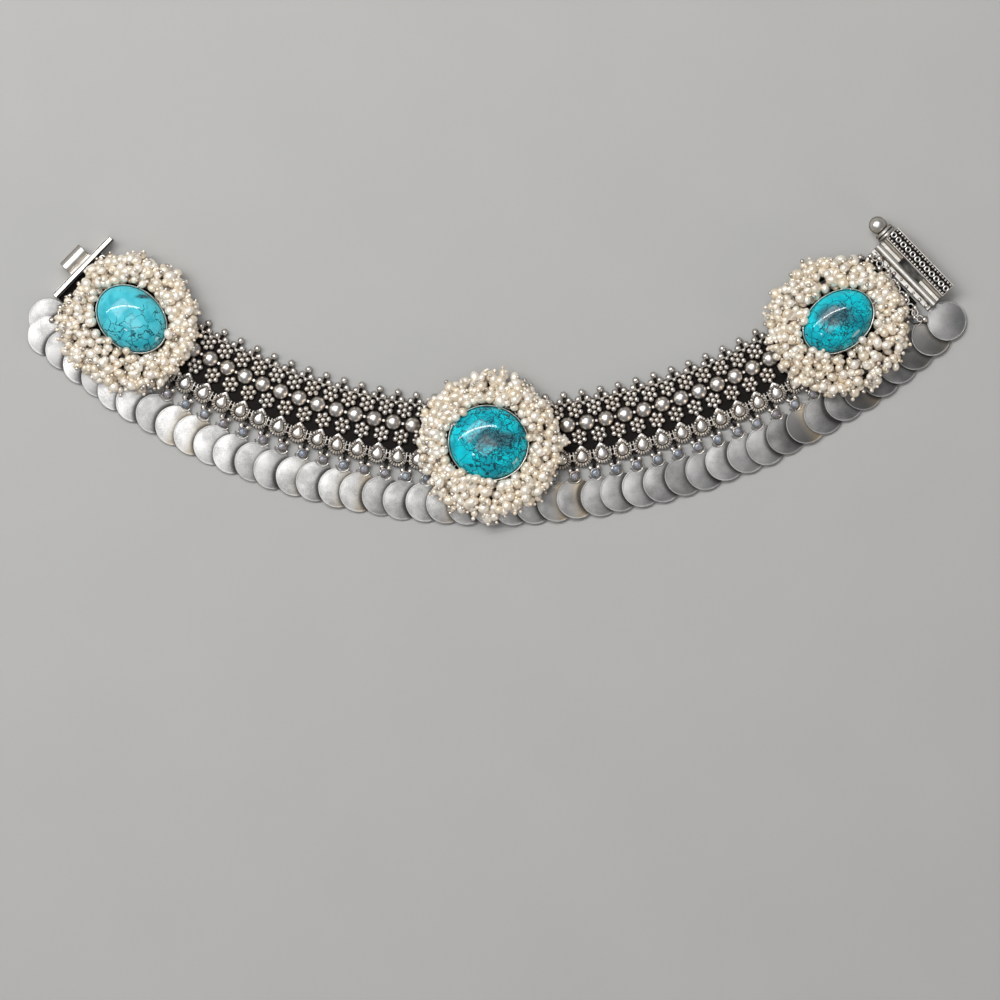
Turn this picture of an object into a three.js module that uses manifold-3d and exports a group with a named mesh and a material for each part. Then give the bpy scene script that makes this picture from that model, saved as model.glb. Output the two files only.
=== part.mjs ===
// Payal anklet, opened and laid flat in an arc: rows of granulated silver links,
// a fringe of overlapping discs, three turquoise medallions ringed with pearls,
// and a hinge clasp closed by a ball-headed pin.
//
// Millimetres, +Z up, lying on z = 0. The arc opens towards +Y. The origin is
// under the middle of the anklet's outline box.

import * as THREE from "three";
import { mergeVertices } from "three/addons/utils/BufferGeometryUtils.js";
import Module from "manifold-3d";

const wasm = await Module();
wasm.setup();

// Fit between pieces
const pieceGap = 0.3; // between pieces that touch on the real anklet
const smallGap = 0.2; // between discs that lie on each other

// The band's arc and its columns of links
const bandRadius = 166.2; // centre of the arc to the row of domes
const columnPitch = 5.54; // from one dome to the next
const columnCount = 45;
const endSpace = 3.2; // from the last dome to the clasp's bar

// Rows of links, each width being what the spacing leaves of a pitch
const linkHeight = 1.3; // flat body of every link
const domeSpacing = 1.24;
const domeRise = 1.6; // above the link's flat body
const domeRim = 0.15; // flat rim round a dome
const flowerSpacing = 1.4;
const flowerRise = 0.5; // of a flower's granules above the flat body
const rowSpacing = 0.55; // between a dome and the flowers beside it
const granuleDiameter = 1.68;
const trefoilSpread = 2.5; // between the two lower granules of a trefoil
const trefoilRise = 1.8; // of the top granule above the lower two
const trefoilStemWidth = 0.9;
const dropSpacing = 0.95; // between two teardrops
const dropLength = 6.0;
const dropStoneWidth = 2.0;
const dropStoneLength = 3.0;
const dropStoneRise = 0.9;
const dropSeatGap = 0.35; // between a flower and the teardrop under it
const studDiameter = 2.4;
const studDrop = 4.9; // from the teardrops' centres to the studs'
const studStemWidth = 1.1;

// Fringe of overlapping discs
const discDiameter = 11.2;
const discThickness = 0.6;
const discSides = 12;
const extraDiscs = 1; // past the last stud at the pin's end
const rivetWidth = 0.9; // of the rivets that hold the discs together
const rivetRise = 0.45; // from a disc's middle to a rivet, as a share of its radius

// Medallions: one in the middle and one beside each clasp end
const leftStone = { length: 21.4, width: 16.5 };
const middleStone = { length: 22.2, width: 20.6 };
const rightStone = { length: 21.2, width: 15.6 };
const stoneHeight = 6.2;
const stoneGirdle = 1.6; // straight edge under the stone's dome
const stoneCrown = [0.5, 0.8, 0.96]; // heights of the dome's rings, as shares of its rise
const bezelWall = 0.6;
const bezelHeight = 5.2;
const bezelFloor = 2.7; // solid back under the stone
// Outwards from the row of domes
const leftMedallionOffset = 3.0;
const middleMedallionOffset = 3.7;
const rightMedallionOffset = 2.1;
const leftMedallionInset = 20.4; // from the clasp bar's middle to the stone's
const rightMedallionInset = 23.1;
const middlePearlRadius = 21.2; // reach of the pearls from the stone's centre
const endPearlRadius = 20.2;
const pearlDepth = 5.4; // of the pearl cluster, lowest to highest
const pearlLump = 0.7; // swell of the cluster's bunches
const pearlBunches = 14;
const coveredReach = 17.0; // from a stone's middle, where the links are plain

// Clasp: a tube on the left bar fits between two tubes on the right bar
const claspLength = 23.1;
const barThickness = 1.3;
const barHeight = 4.3;
const leftBarStart = -11.1; // from the row of domes, negative towards the arc's centre
const rightBarStart = -7.7;
const roundBarWidth = 2.2;
const stripWidth = 1.4; // flat strip between the round bar and the links
const tubeDiameter = 4.1;
const boreDiameter = 2.4;
const leftTubeLength = 7.6;
const leftTubeReach = 3.05; // from the left bar's middle to its tube's axis
const rightTubeReach = 4.1;
const webThickness = 1.2;
const coverWidth = 4.5;
const coverThickness = 0.8;
const coverShift = 1.2; // outwards from the pin's axis
const coverSaddleWidth = 2.6;

// Pin with a ball head
const pinDiameter = 1.8;
const pinTipSpace = 0.8; // from the pin's tip to the lower tube's end
const collarDiameter = 6.1;
const collarThickness = 1.8;
const neckDiameter = 3.4;
const neckLength = 0.3;
const ballDiameter = 5.0;
const pinLift = 0.1; // between the collar and what the anklet lies on

// Shape resolution
const beadSides = 10;
const stoneSides = 20;
const tubeSides = 16;

// Worked-out sizes
const pitchAngle = columnPitch / bandRadius;
const lastColumn = (columnCount - 1) / 2;
const domeRadius = (columnPitch - domeSpacing) / 2;
const flowerRadius = (columnPitch - flowerSpacing) / 2;
const halfPitch = columnPitch / 2;
const nestedRowStep = Math.sqrt(
  (domeRadius + flowerRadius + rowSpacing) ** 2 - halfPitch ** 2,
);
const upperFlowerOffset = -nestedRowStep;
const lowerFlowerOffset = nestedRowStep;
const dropRadius = (columnPitch - dropSpacing) / 2 + granuleDiameter / 8;
const dropPoint = dropLength - dropRadius; // from a teardrop's centre to its point
const dropOffset = lowerFlowerOffset + flowerRadius + dropSeatGap + dropPoint;
const studOffset = dropOffset + studDrop;
const discOffset = studOffset + (studDiameter + discDiameter) / 2 + pieceGap;
const trefoilOffset = upperFlowerOffset - (flowerRadius + granuleDiameter / 2);
const barAngle =
  lastColumn * pitchAngle +
  (domeRadius + endSpace + barThickness / 2) / bandRadius;
const domeTop = linkHeight + domeRise;
const pinAxisHeight = collarDiameter / 2 + pinLift;
const tubeRadius = tubeDiameter / 2;
const webTop = pinAxisHeight - (tubeRadius - webThickness) / 2;

const finishes = {
  darkSilver: { color: 0x8d8780, roughness: 0.42, metalness: 1 },
  discSilver: { color: 0xb9b3aa, roughness: 0.38, metalness: 1 },
  claspSilver: { color: 0xc9c3b8, roughness: 0.3, metalness: 1 },
  turquoise: { color: 0x1fa9b4, roughness: 0.22, metalness: 0 },
  pearl: { color: 0xe9dcc6, roughness: 0.35, metalness: 0 },
};

// Solids

function solidFrom(geometry) {
  const bare = new THREE.BufferGeometry();
  bare.setAttribute("position", geometry.getAttribute("position"));
  if (geometry.index) bare.setIndex(geometry.index);
  const merged = mergeVertices(bare, 1e-4);
  const corners = merged.index.array;
  const kept = [];
  for (let i = 0; i < corners.length; i += 3) {
    const [a, b, c] = corners.slice(i, i + 3);
    if (a !== b && b !== c && c !== a) kept.push(a, b, c);
  }
  return new wasm.Manifold(
    new wasm.Mesh({
      numProp: 3,
      vertProperties: new Float32Array(merged.attributes.position.array),
      triVerts: new Uint32Array(kept),
    }),
  );
}

function geometryFrom(solid) {
  const mesh = solid.getMesh();
  const geometry = new THREE.BufferGeometry();
  geometry.setAttribute(
    "position",
    new THREE.BufferAttribute(new Float32Array(mesh.vertProperties), 3),
  );
  geometry.setIndex(new THREE.BufferAttribute(mesh.triVerts, 1));
  geometry.computeVertexNormals();
  return geometry;
}

function joined(geometries) {
  return wasm.Manifold.union(geometries.map(solidFrom));
}

function part(name, solid, finish) {
  const material = new THREE.MeshStandardMaterial(finishes[finish]);
  material.flatShading = true;
  const mesh = new THREE.Mesh(geometryFrom(solid), material);
  mesh.name = name;
  return mesh;
}

function box(xRange, yRange, zRange) {
  const [width, depth, height] = [xRange, yRange, zRange].map(
    ([low, high]) => high - low,
  );
  const geometry = new THREE.BoxGeometry(width, depth, height);
  geometry.translate(
    xRange[0] + width / 2,
    yRange[0] + depth / 2,
    zRange[0] + height / 2,
  );
  return geometry;
}

// A cylinder along Y, between two values of y.
function rod(radius, yRange, sides, x, z) {
  const geometry = new THREE.CylinderGeometry(
    radius,
    radius,
    yRange[1] - yRange[0],
    sides,
  );
  geometry.translate(x, (yRange[0] + yRange[1]) / 2, z);
  return geometry;
}

// A profile of [radius, height] pairs turned round the Z axis, from the bottom up.
function turned(profile, sides) {
  const points = profile.map(([radius, height]) => new THREE.Vector2(radius, height));
  const geometry = new THREE.LatheGeometry(points, sides);
  geometry.rotateX(Math.PI / 2);
  return geometry;
}

function extruded(points, zRange) {
  const shape = new THREE.Shape(points.map(([x, y]) => new THREE.Vector2(x, y)));
  const geometry = new THREE.ExtrudeGeometry(shape, {
    depth: zRange[1] - zRange[0],
    bevelEnabled: false,
  });
  geometry.translate(0, 0, zRange[0]);
  return geometry;
}

// The band's arc, whose centre is the frame that everything is placed in

// The point that lies (x, y) from a place on the arc. x runs along the band and
// y points to the arc's centre. offset is from the row of domes, outwards.
function onArc(angle, offset, [x, y]) {
  const radius = bandRadius + offset - y;
  return [
    radius * Math.sin(angle) + x * Math.cos(angle),
    -radius * Math.cos(angle) + x * Math.sin(angle),
  ];
}

// A group whose own axes are the band's direction and the way to the arc's centre.
function groupOnArc(angle, offset) {
  const group = new THREE.Group();
  const [x, y] = onArc(angle, offset, [0, 0]);
  group.position.set(x, y, 0);
  group.rotation.z = angle;
  return group;
}

const medallionAngles = {
  left: -barAngle + leftMedallionInset / bandRadius,
  middle: 0,
  right: barAngle - rightMedallionInset / bandRadius,
};

const medallionOffsets = {
  left: leftMedallionOffset,
  middle: middleMedallionOffset,
  right: rightMedallionOffset,
};

function isCovered(angle) {
  return Object.values(medallionAngles).some(
    (place) => Math.abs(angle - place) * bandRadius < coveredReach,
  );
}

// Angles of the columns, from first to last in steps of one pitch.
function columnAngles(first, last) {
  const angles = [];
  for (let column = first; column <= last + 1e-6; column++)
    angles.push(column * pitchAngle);
  return angles;
}

const domeColumns = columnAngles(-lastColumn, lastColumn);
const flowerColumns = columnAngles(-lastColumn + 0.5, lastColumn - 0.5);

// Points of a regular polygon's upper or lower side, left to right, with a flat
// side at each end for the neck that joins it to its neighbour.
function polygonSide(radius, sign) {
  const step = (2 * Math.PI) / beadSides;
  const points = [];
  for (let i = 0; i < beadSides / 2; i++) {
    const angle = Math.PI - step / 2 - i * step;
    points.push([radius * Math.cos(angle), sign * radius * Math.sin(angle)]);
  }
  return points;
}

function neckHalfWidth(radius) {
  return radius * Math.sin(Math.PI / beadSides);
}

const rightSeat = roundBarWidth / 2 + stripWidth;
const rowEnds = {
  left: -barAngle + (barThickness / 2 + pieceGap) / bandRadius,
  right: barAngle - (rightSeat + pieceGap) / bandRadius,
};

// Flat body of one row: its elements' outlines with necks between them. Each
// element is { angle, offset, upper, lower }, with its two sides left to right.
function rowBody(elements, offset, neck) {
  const upper = [onArc(rowEnds.left, offset, [0, neck])];
  const lower = [onArc(rowEnds.left, offset, [0, -neck])];
  for (const element of elements) {
    for (const point of element.upper)
      upper.push(onArc(element.angle, element.offset, point));
    for (const point of element.lower)
      lower.push(onArc(element.angle, element.offset, point));
  }
  upper.push(onArc(rowEnds.right, offset, [0, neck]));
  lower.push(onArc(rowEnds.right, offset, [0, -neck]));
  return [...lower, ...upper.reverse()];
}

// Where the medallions cover the band a row is a plain strip.
function element(angle, offset, neck, upper, lower) {
  if (isCovered(angle))
    return { angle, offset, upper: [[0, neck]], lower: [[0, -neck]] };
  return { angle, offset, upper, lower };
}

// Rows of links

function domeRow() {
  const rim = domeRadius;
  const neck = neckHalfWidth(rim);
  const elements = domeColumns.map((angle) =>
    element(angle, 0, neck, polygonSide(rim, 1), polygonSide(rim, -1)),
  );
  const solids = [extruded(rowBody(elements, 0, neck), [0, linkHeight])];
  const foot = rim - domeRim;
  const dome = turned(
    [
      [0, linkHeight / 2],
      [foot, linkHeight / 2],
      [foot * 0.76, linkHeight + domeRise * 0.72],
      [0, domeTop],
    ],
    beadSides,
  );
  for (const angle of domeColumns.filter((place) => !isCovered(place))) {
    const [x, y] = onArc(angle, 0, [0, 0]);
    solids.push(dome.clone().rotateZ(angle).translate(x, y, 0));
  }
  return part("dome_row", joined(solids), "darkSilver");
}

// Outline of three granules on a stem, left to right, seen from the lower pair.
function trefoilSide(stemLength) {
  const r = granuleDiameter / 2;
  const side = trefoilSpread / 2;
  const stem = trefoilStemWidth / 2;
  const half = [
    [-stem, -stemLength],
    [-stem, -r * 0.8],
    [-side - r * 0.8, -r * 0.6],
    [-side - r * 0.5, r * 0.8],
    [-r * 0.75, r * 1.1],
    [-r * 0.55, trefoilRise + r],
  ];
  return [...half, ...half.map(([x, y]) => [-x, y]).reverse()];
}

// Flowers of granules, with a trefoil standing between each two on the band's edge.
function crestRow() {
  const neck = neckHalfWidth(flowerRadius);
  const stemLength = upperFlowerOffset - neck - trefoilOffset;
  const flowers = flowerColumns.map((angle) =>
    element(
      angle,
      upperFlowerOffset,
      neck,
      polygonSide(flowerRadius, 1),
      polygonSide(flowerRadius, -1),
    ),
  );
  const trefoils = domeColumns
    .filter((angle) => !isCovered(angle))
    .map((angle) => ({
      angle,
      offset: trefoilOffset,
      upper: trefoilSide(stemLength),
      lower: [],
    }));
  const elements = [...flowers, ...trefoils].sort((a, b) => a.angle - b.angle);
  const outline = rowBody(elements, upperFlowerOffset, neck);
  return part(
    "crest_row",
    joined([extruded(outline, [0, linkHeight + flowerRise])]),
    "darkSilver",
  );
}

function lowerFlowerRow() {
  const neck = neckHalfWidth(flowerRadius);
  const elements = flowerColumns.map((angle) =>
    element(
      angle,
      lowerFlowerOffset,
      neck,
      polygonSide(flowerRadius, 1),
      polygonSide(flowerRadius, -1),
    ),
  );
  const outline = rowBody(elements, lowerFlowerOffset, neck);
  return part(
    "lower_flower_row",
    joined([extruded(outline, [0, linkHeight + flowerRise])]),
    "darkSilver",
  );
}

// Upper side of a teardrop whose lower side is half a polygon.
function dropUpperSide(radius, point) {
  const side = polygonSide(radius, 1);
  const shoulder = [radius * 0.62, radius * 0.62 + (point - radius) * 0.3];
  return [
    side[0],
    [-shoulder[0], shoulder[1]],
    [0, point],
    shoulder,
    side[side.length - 1],
  ];
}

// Outline of a stud that hangs under the row on its stem, left to right.
function studSide(stemLength) {
  const radius = studDiameter / 2;
  const stem = studStemWidth / 2;
  const opening = Math.asin(stem / radius);
  const turns = beadSides - 4;
  const points = [[-stem, stemLength]];
  for (let i = 0; i <= turns; i++) {
    const angle =
      Math.PI / 2 + opening + (i * (2 * Math.PI - 2 * opening)) / turns;
    points.push([radius * Math.cos(angle), radius * Math.sin(angle)]);
  }
  points.push([stem, stemLength]);
  return points;
}

// Teardrops with a raised drop on each, and the studs that carry the discs.
function dropRow() {
  const neck = neckHalfWidth(dropRadius);
  const stemLength = studDrop - neck;
  const drops = flowerColumns.map((angle) =>
    element(
      angle,
      dropOffset,
      neck,
      dropUpperSide(dropRadius, dropPoint),
      polygonSide(dropRadius, -1),
    ),
  );
  const studs = domeColumns
    .filter((angle) => !isCovered(angle))
    .map((angle) => ({
      angle,
      offset: studOffset,
      upper: [],
      lower: studSide(stemLength),
    }));
  const elements = [...drops, ...studs].sort((a, b) => a.angle - b.angle);
  const solids = [
    extruded(rowBody(elements, dropOffset, neck), [0, linkHeight]),
  ];
  const stoneRadius = dropStoneWidth / 2;
  const stone = [
    ...dropUpperSide(stoneRadius, dropStoneLength - stoneRadius).slice(1, 4).reverse(),
    ...polygonSide(stoneRadius, -1),
  ];
  const stoneTop = linkHeight + dropStoneRise;
  for (const angle of flowerColumns.filter((place) => !isCovered(place)))
    solids.push(
      extruded(
        stone.map((point) => onArc(angle, dropOffset, point)),
        [linkHeight / 2, stoneTop],
      ),
    );
  return part("teardrop_row", joined(solids), "darkSilver");
}

// Discs lying on each other like scales, each one's left edge on its neighbour,
// with a rivet through each two where they overlap.
function discFringe() {
  const radius = discDiameter / 2;
  const pitch = columnPitch * (1 + discOffset / bandRadius);
  const tilt = Math.asin((discThickness + smallGap) / pitch);
  const middleHeight =
    radius * Math.sin(tilt) + (discThickness / 2) * Math.cos(tilt);
  const disc = new THREE.CylinderGeometry(radius, radius, discThickness, discSides);
  disc.rotateX(Math.PI / 2);
  disc.rotateY(tilt);
  disc.translate(0, 0, middleHeight);
  const angles = columnAngles(-lastColumn, lastColumn + extraDiscs);
  const place = (geometry, angle) => {
    const [x, y] = onArc(angle, discOffset, [0, 0]);
    return geometry.clone().rotateZ(angle).translate(x, y, 0);
  };
  const half = rivetWidth / 2;
  const rivetMiddle = radius * rivetRise;
  const rivet = box(
    [-half, half],
    [rivetMiddle - half, rivetMiddle + half],
    [middleHeight - discThickness / 2, middleHeight + discThickness / 2],
  );
  const solids = [
    ...angles.map((angle) => place(disc, angle)),
    ...angles.slice(1).map((angle) => place(rivet, angle - pitchAngle / 2)),
  ];
  return part("disc_fringe", joined(solids), "discSilver");
}

// Medallions

// A turned profile, its radii as shares of an oval's two half-axes.
function turnedOval(profile, halfLength, halfWidth) {
  return turned(profile, stoneSides).scale(halfLength, halfWidth, 1);
}

const bezelBase = linkHeight + flowerRise + pieceGap;
const stoneSeat = bezelBase + bezelFloor + pieceGap;

function bezel(name, stone) {
  const [length, width] = [stone.length / 2 + pieceGap, stone.width / 2 + pieceGap];
  const cup = (bottom, top, wall) =>
    solidFrom(
      turnedOval(
        [
          [0, bottom],
          [1, bottom],
          [1, top],
          [0, top],
        ],
        length + wall,
        width + wall,
      ),
    );
  const outer = cup(bezelBase, bezelBase + bezelHeight, bezelWall);
  const pocket = cup(bezelBase + bezelFloor, bezelBase + bezelHeight + 1, 0);
  return part(name, outer.subtract(pocket), "claspSilver");
}

function cabochon(name, stone) {
  const rise = stoneHeight - stoneGirdle;
  const shoulder = stoneSeat + stoneGirdle;
  const crown = stoneCrown.map((lift) => [
    Math.sqrt(1 - lift * lift),
    shoulder + rise * lift,
  ]);
  const profile = [[0, stoneSeat], [1, stoneSeat], [1, shoulder], ...crown];
  profile.push([0, shoulder + rise]);
  return part(
    name,
    solidFrom(turnedOval(profile, stone.length / 2, stone.width / 2)),
    "turquoise",
  );
}

// The outer form of the pearls bunched round a bezel: a ring with an oval hole,
// swelling in bunches. keptBox is the space that its neighbours leave it.
function pearlCluster(name, stone, reach, keptBox) {
  const base = domeTop + pieceGap;
  const clear = 2 * pieceGap + bezelWall;
  const [holeLength, holeWidth] = [stone.length / 2 + clear, stone.width / 2 + clear];
  // Radius 1 is the hole's wall and radius 2 the ring's rim.
  const section = [
    [1, 0],
    [1.8, 0],
    [2, 0.3],
    [1.82, 0.75],
    [1.45, 1],
    [1, 0.7],
    [1, 0],
  ];
  const geometry = turned(section, pearlBunches * 2);
  const position = geometry.getAttribute("position");
  const point = new THREE.Vector3();
  for (let i = 0; i < position.count; i++) {
    point.fromBufferAttribute(position, i);
    const angle = Math.atan2(point.y, point.x);
    const out = Math.hypot(point.x, point.y) - 1;
    const swell = (pearlLump * (1 + Math.cos(pearlBunches * angle))) / 2;
    const rim = reach - pearlLump + swell;
    const height = pearlDepth - pearlLump + swell;
    position.setXYZ(
      i,
      (holeLength * (1 - out) + rim * out) * Math.cos(angle),
      (holeWidth * (1 - out) + rim * out) * Math.sin(angle),
      base + height * point.z,
    );
  }
  const cluster = solidFrom(geometry).intersect(solidFrom(keptBox));
  return part(name, cluster, "pearl");
}

// space is how far the pearls may reach along the band, to the left and right.
function medallion(side, stone, reach, space) {
  const keptBox = box(space, [-reach - 1, reach + 1], [0, stoneSeat + stoneHeight]);
  const group = groupOnArc(medallionAngles[side], medallionOffsets[side]);
  group.add(
    bezel(`bezel_${side}`, stone),
    cabochon(`turquoise_${side}`, stone),
    pearlCluster(`pearls_${side}`, stone, reach, keptBox),
  );
  return group;
}

// Clasp

// Tube with a bore, along Y.
function tube(yRange, x) {
  return rod(tubeRadius, yRange, tubeSides, x, pinAxisHeight);
}

function leftClaspEnd() {
  const start = -leftBarStart;
  const end = start - claspLength;
  const middle = (start + end) / 2;
  const tubeRange = [middle - leftTubeLength / 2, middle + leftTubeLength / 2];
  const solid = joined([
    box([-barThickness / 2, barThickness / 2], [end, start], [0, barHeight]),
    box([-leftTubeReach, 0], tubeRange, [webTop - webThickness, webTop]),
    tube(tubeRange, -leftTubeReach),
  ]);
  const bore = solidFrom(
    rod(
      boreDiameter / 2,
      [tubeRange[0] - 1, tubeRange[1] + 1],
      tubeSides,
      -leftTubeReach,
      pinAxisHeight,
    ),
  );
  const group = groupOnArc(-barAngle, 0);
  group.add(part("clasp_tongue_end", solid.subtract(bore), "claspSilver"));
  return group;
}

// Half-round bar with a flat underside, along Y.
function roundBar(yRange) {
  const radius = roundBarWidth / 2;
  const points = [[-radius, 0]];
  const arcSteps = 6;
  points.push([radius, 0]);
  for (let i = 0; i <= arcSteps; i++) {
    const angle = (Math.PI * i) / arcSteps;
    points.push([
      radius * Math.cos(angle),
      barHeight - radius + radius * Math.sin(angle),
    ]);
  }
  const geometry = extruded(points, [0, yRange[1] - yRange[0]]);
  geometry.rotateX(Math.PI / 2);
  geometry.translate(0, yRange[1], 0);
  return geometry;
}

const rightStart = -rightBarStart;
const rightEnd = rightStart - claspLength;
const rightMiddle = (rightStart + rightEnd) / 2;
const tongueSpace = leftTubeLength / 2 + smallGap;
const rightTubes = [
  [rightEnd, rightMiddle - tongueSpace],
  [rightMiddle + tongueSpace, rightStart],
];

function rightClaspEnd() {
  const coverBase = pinAxisHeight + tubeRadius + smallGap;
  const coverMiddle = rightTubeReach + coverShift;
  const solids = [
    roundBar([rightEnd, rightStart]),
    box([-rightSeat, 0], [rightEnd, rightStart], [0, linkHeight]),
    box(
      [coverMiddle - coverWidth / 2, coverMiddle + coverWidth / 2],
      [rightEnd, rightStart],
      [coverBase, coverBase + coverThickness],
    ),
  ];
  for (const range of rightTubes) {
    solids.push(tube(range, rightTubeReach));
    solids.push(
      box([0, rightTubeReach], range, [webTop - webThickness, webTop]),
      box(
        [
          rightTubeReach - coverSaddleWidth / 2,
          rightTubeReach + coverSaddleWidth / 2,
        ],
        range,
        [pinAxisHeight, coverBase + coverThickness / 2],
      ),
    );
  }
  const bore = solidFrom(
    rod(
      boreDiameter / 2,
      [rightEnd - 1, rightStart + 1],
      tubeSides,
      rightTubeReach,
      pinAxisHeight,
    ),
  );
  return part("clasp_box_end", joined(solids).subtract(bore), "claspSilver");
}

// Ball-headed pin in the clasp's tubes, along Y with its head at the top.
function claspPin() {
  const collarStart = rightStart + pieceGap;
  const neckStart = collarStart + collarThickness;
  const ballStart = neckStart + neckLength;
  const radius = ballDiameter / 2;
  const profile = [
    [0, rightEnd + pinTipSpace],
    [pinDiameter / 2, rightEnd + pinTipSpace],
    [pinDiameter / 2, collarStart],
    [collarDiameter / 2, collarStart],
    [collarDiameter / 2, neckStart],
    [neckDiameter / 2, neckStart],
    [neckDiameter / 2, ballStart],
  ];
  const flatAngle = Math.asin(neckDiameter / ballDiameter);
  const steps = 6;
  const ballMiddle = ballStart + radius * Math.cos(flatAngle);
  for (let i = 1; i < steps; i++) {
    const angle = flatAngle + ((Math.PI - flatAngle) * i) / steps;
    profile.push([
      radius * Math.sin(angle),
      ballMiddle - radius * Math.cos(angle),
    ]);
  }
  profile.push([0, ballMiddle + radius]);
  const geometry = turned(profile, tubeSides);
  geometry.rotateX(-Math.PI / 2);
  geometry.translate(rightTubeReach, 0, pinAxisHeight);
  return part("clasp_pin", solidFrom(geometry), "claspSilver");
}

function rightClasp() {
  const group = groupOnArc(barAngle, 0);
  group.add(rightClaspEnd(), claspPin());
  return group;
}

// The whole anklet

const leftPearlSpace = leftMedallionInset - barThickness / 2 - pieceGap;
const rightPearlSpace = rightMedallionInset - roundBarWidth / 2 - pieceGap;
const anklet = new THREE.Group();
anklet.add(
  crestRow(),
  domeRow(),
  lowerFlowerRow(),
  dropRow(),
  discFringe(),
  medallion("left", leftStone, endPearlRadius, [-leftPearlSpace, 2 * endPearlRadius]),
  medallion("middle", middleStone, middlePearlRadius, [
    -2 * middlePearlRadius,
    2 * middlePearlRadius,
  ]),
  medallion("right", rightStone, endPearlRadius, [
    -2 * endPearlRadius,
    rightPearlSpace,
  ]),
  leftClaspEnd(),
  rightClasp(),
);

const outline = new THREE.Box3().setFromObject(anklet, true);
const middle = outline.getCenter(new THREE.Vector3());
anklet.position.set(-middle.x, -middle.y, -outline.min.z);

export default anklet;
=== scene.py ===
"""A silver payal anklet, opened and laid flat in an arc.

Rows of granulated links, a fringe of overlapping discs, three turquoise
medallions ringed with pinned seed pearls, and a tube clasp closed by a pin with
a ball head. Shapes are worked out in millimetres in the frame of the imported
model and put into Blender in metres.

A piece on the band is made in its own small frame: x along the band towards the
clasp's box end, y towards the arc's centre, z up from the surface.
"""

import logging
import math
from dataclasses import dataclass, replace
from enum import Enum

import bpy
import numpy as np
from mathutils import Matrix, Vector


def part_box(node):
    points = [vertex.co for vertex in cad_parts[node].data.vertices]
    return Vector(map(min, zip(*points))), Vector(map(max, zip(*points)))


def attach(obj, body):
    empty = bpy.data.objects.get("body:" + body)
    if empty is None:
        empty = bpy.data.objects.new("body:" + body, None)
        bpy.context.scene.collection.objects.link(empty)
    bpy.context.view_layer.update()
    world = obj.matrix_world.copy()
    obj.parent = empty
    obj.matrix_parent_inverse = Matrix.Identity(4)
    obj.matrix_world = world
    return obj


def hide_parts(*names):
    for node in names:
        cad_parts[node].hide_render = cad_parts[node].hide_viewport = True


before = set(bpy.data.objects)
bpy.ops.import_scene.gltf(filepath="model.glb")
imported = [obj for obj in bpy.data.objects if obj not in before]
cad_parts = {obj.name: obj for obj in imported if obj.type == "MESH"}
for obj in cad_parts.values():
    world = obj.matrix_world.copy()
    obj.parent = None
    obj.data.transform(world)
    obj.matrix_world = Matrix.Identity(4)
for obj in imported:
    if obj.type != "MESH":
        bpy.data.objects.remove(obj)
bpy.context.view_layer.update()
LOG = logging.getLogger("payal")

Array = np.ndarray
Colour = tuple[float, float, float, float]
Pair = tuple[float, float]
Socket = bpy.types.NodeSocket
MM = 0.001
TURN = 2.0 * math.pi
UP = (0.0, 0.0, 1.0)


class Body(Enum):
    """The bodies that pieces ride on."""

    ANKLET = "anklet"
    PIN = "clasp_pin"


class Slot(Enum):
    """The record's material slots."""

    DARK_SILVER = "dark_silver"
    DISC_SILVER = "disc_silver"
    CLASP_SILVER = "clasp_silver"
    TURQUOISE = "turquoise"
    PEARL = "pearl"


# Surfaces


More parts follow.
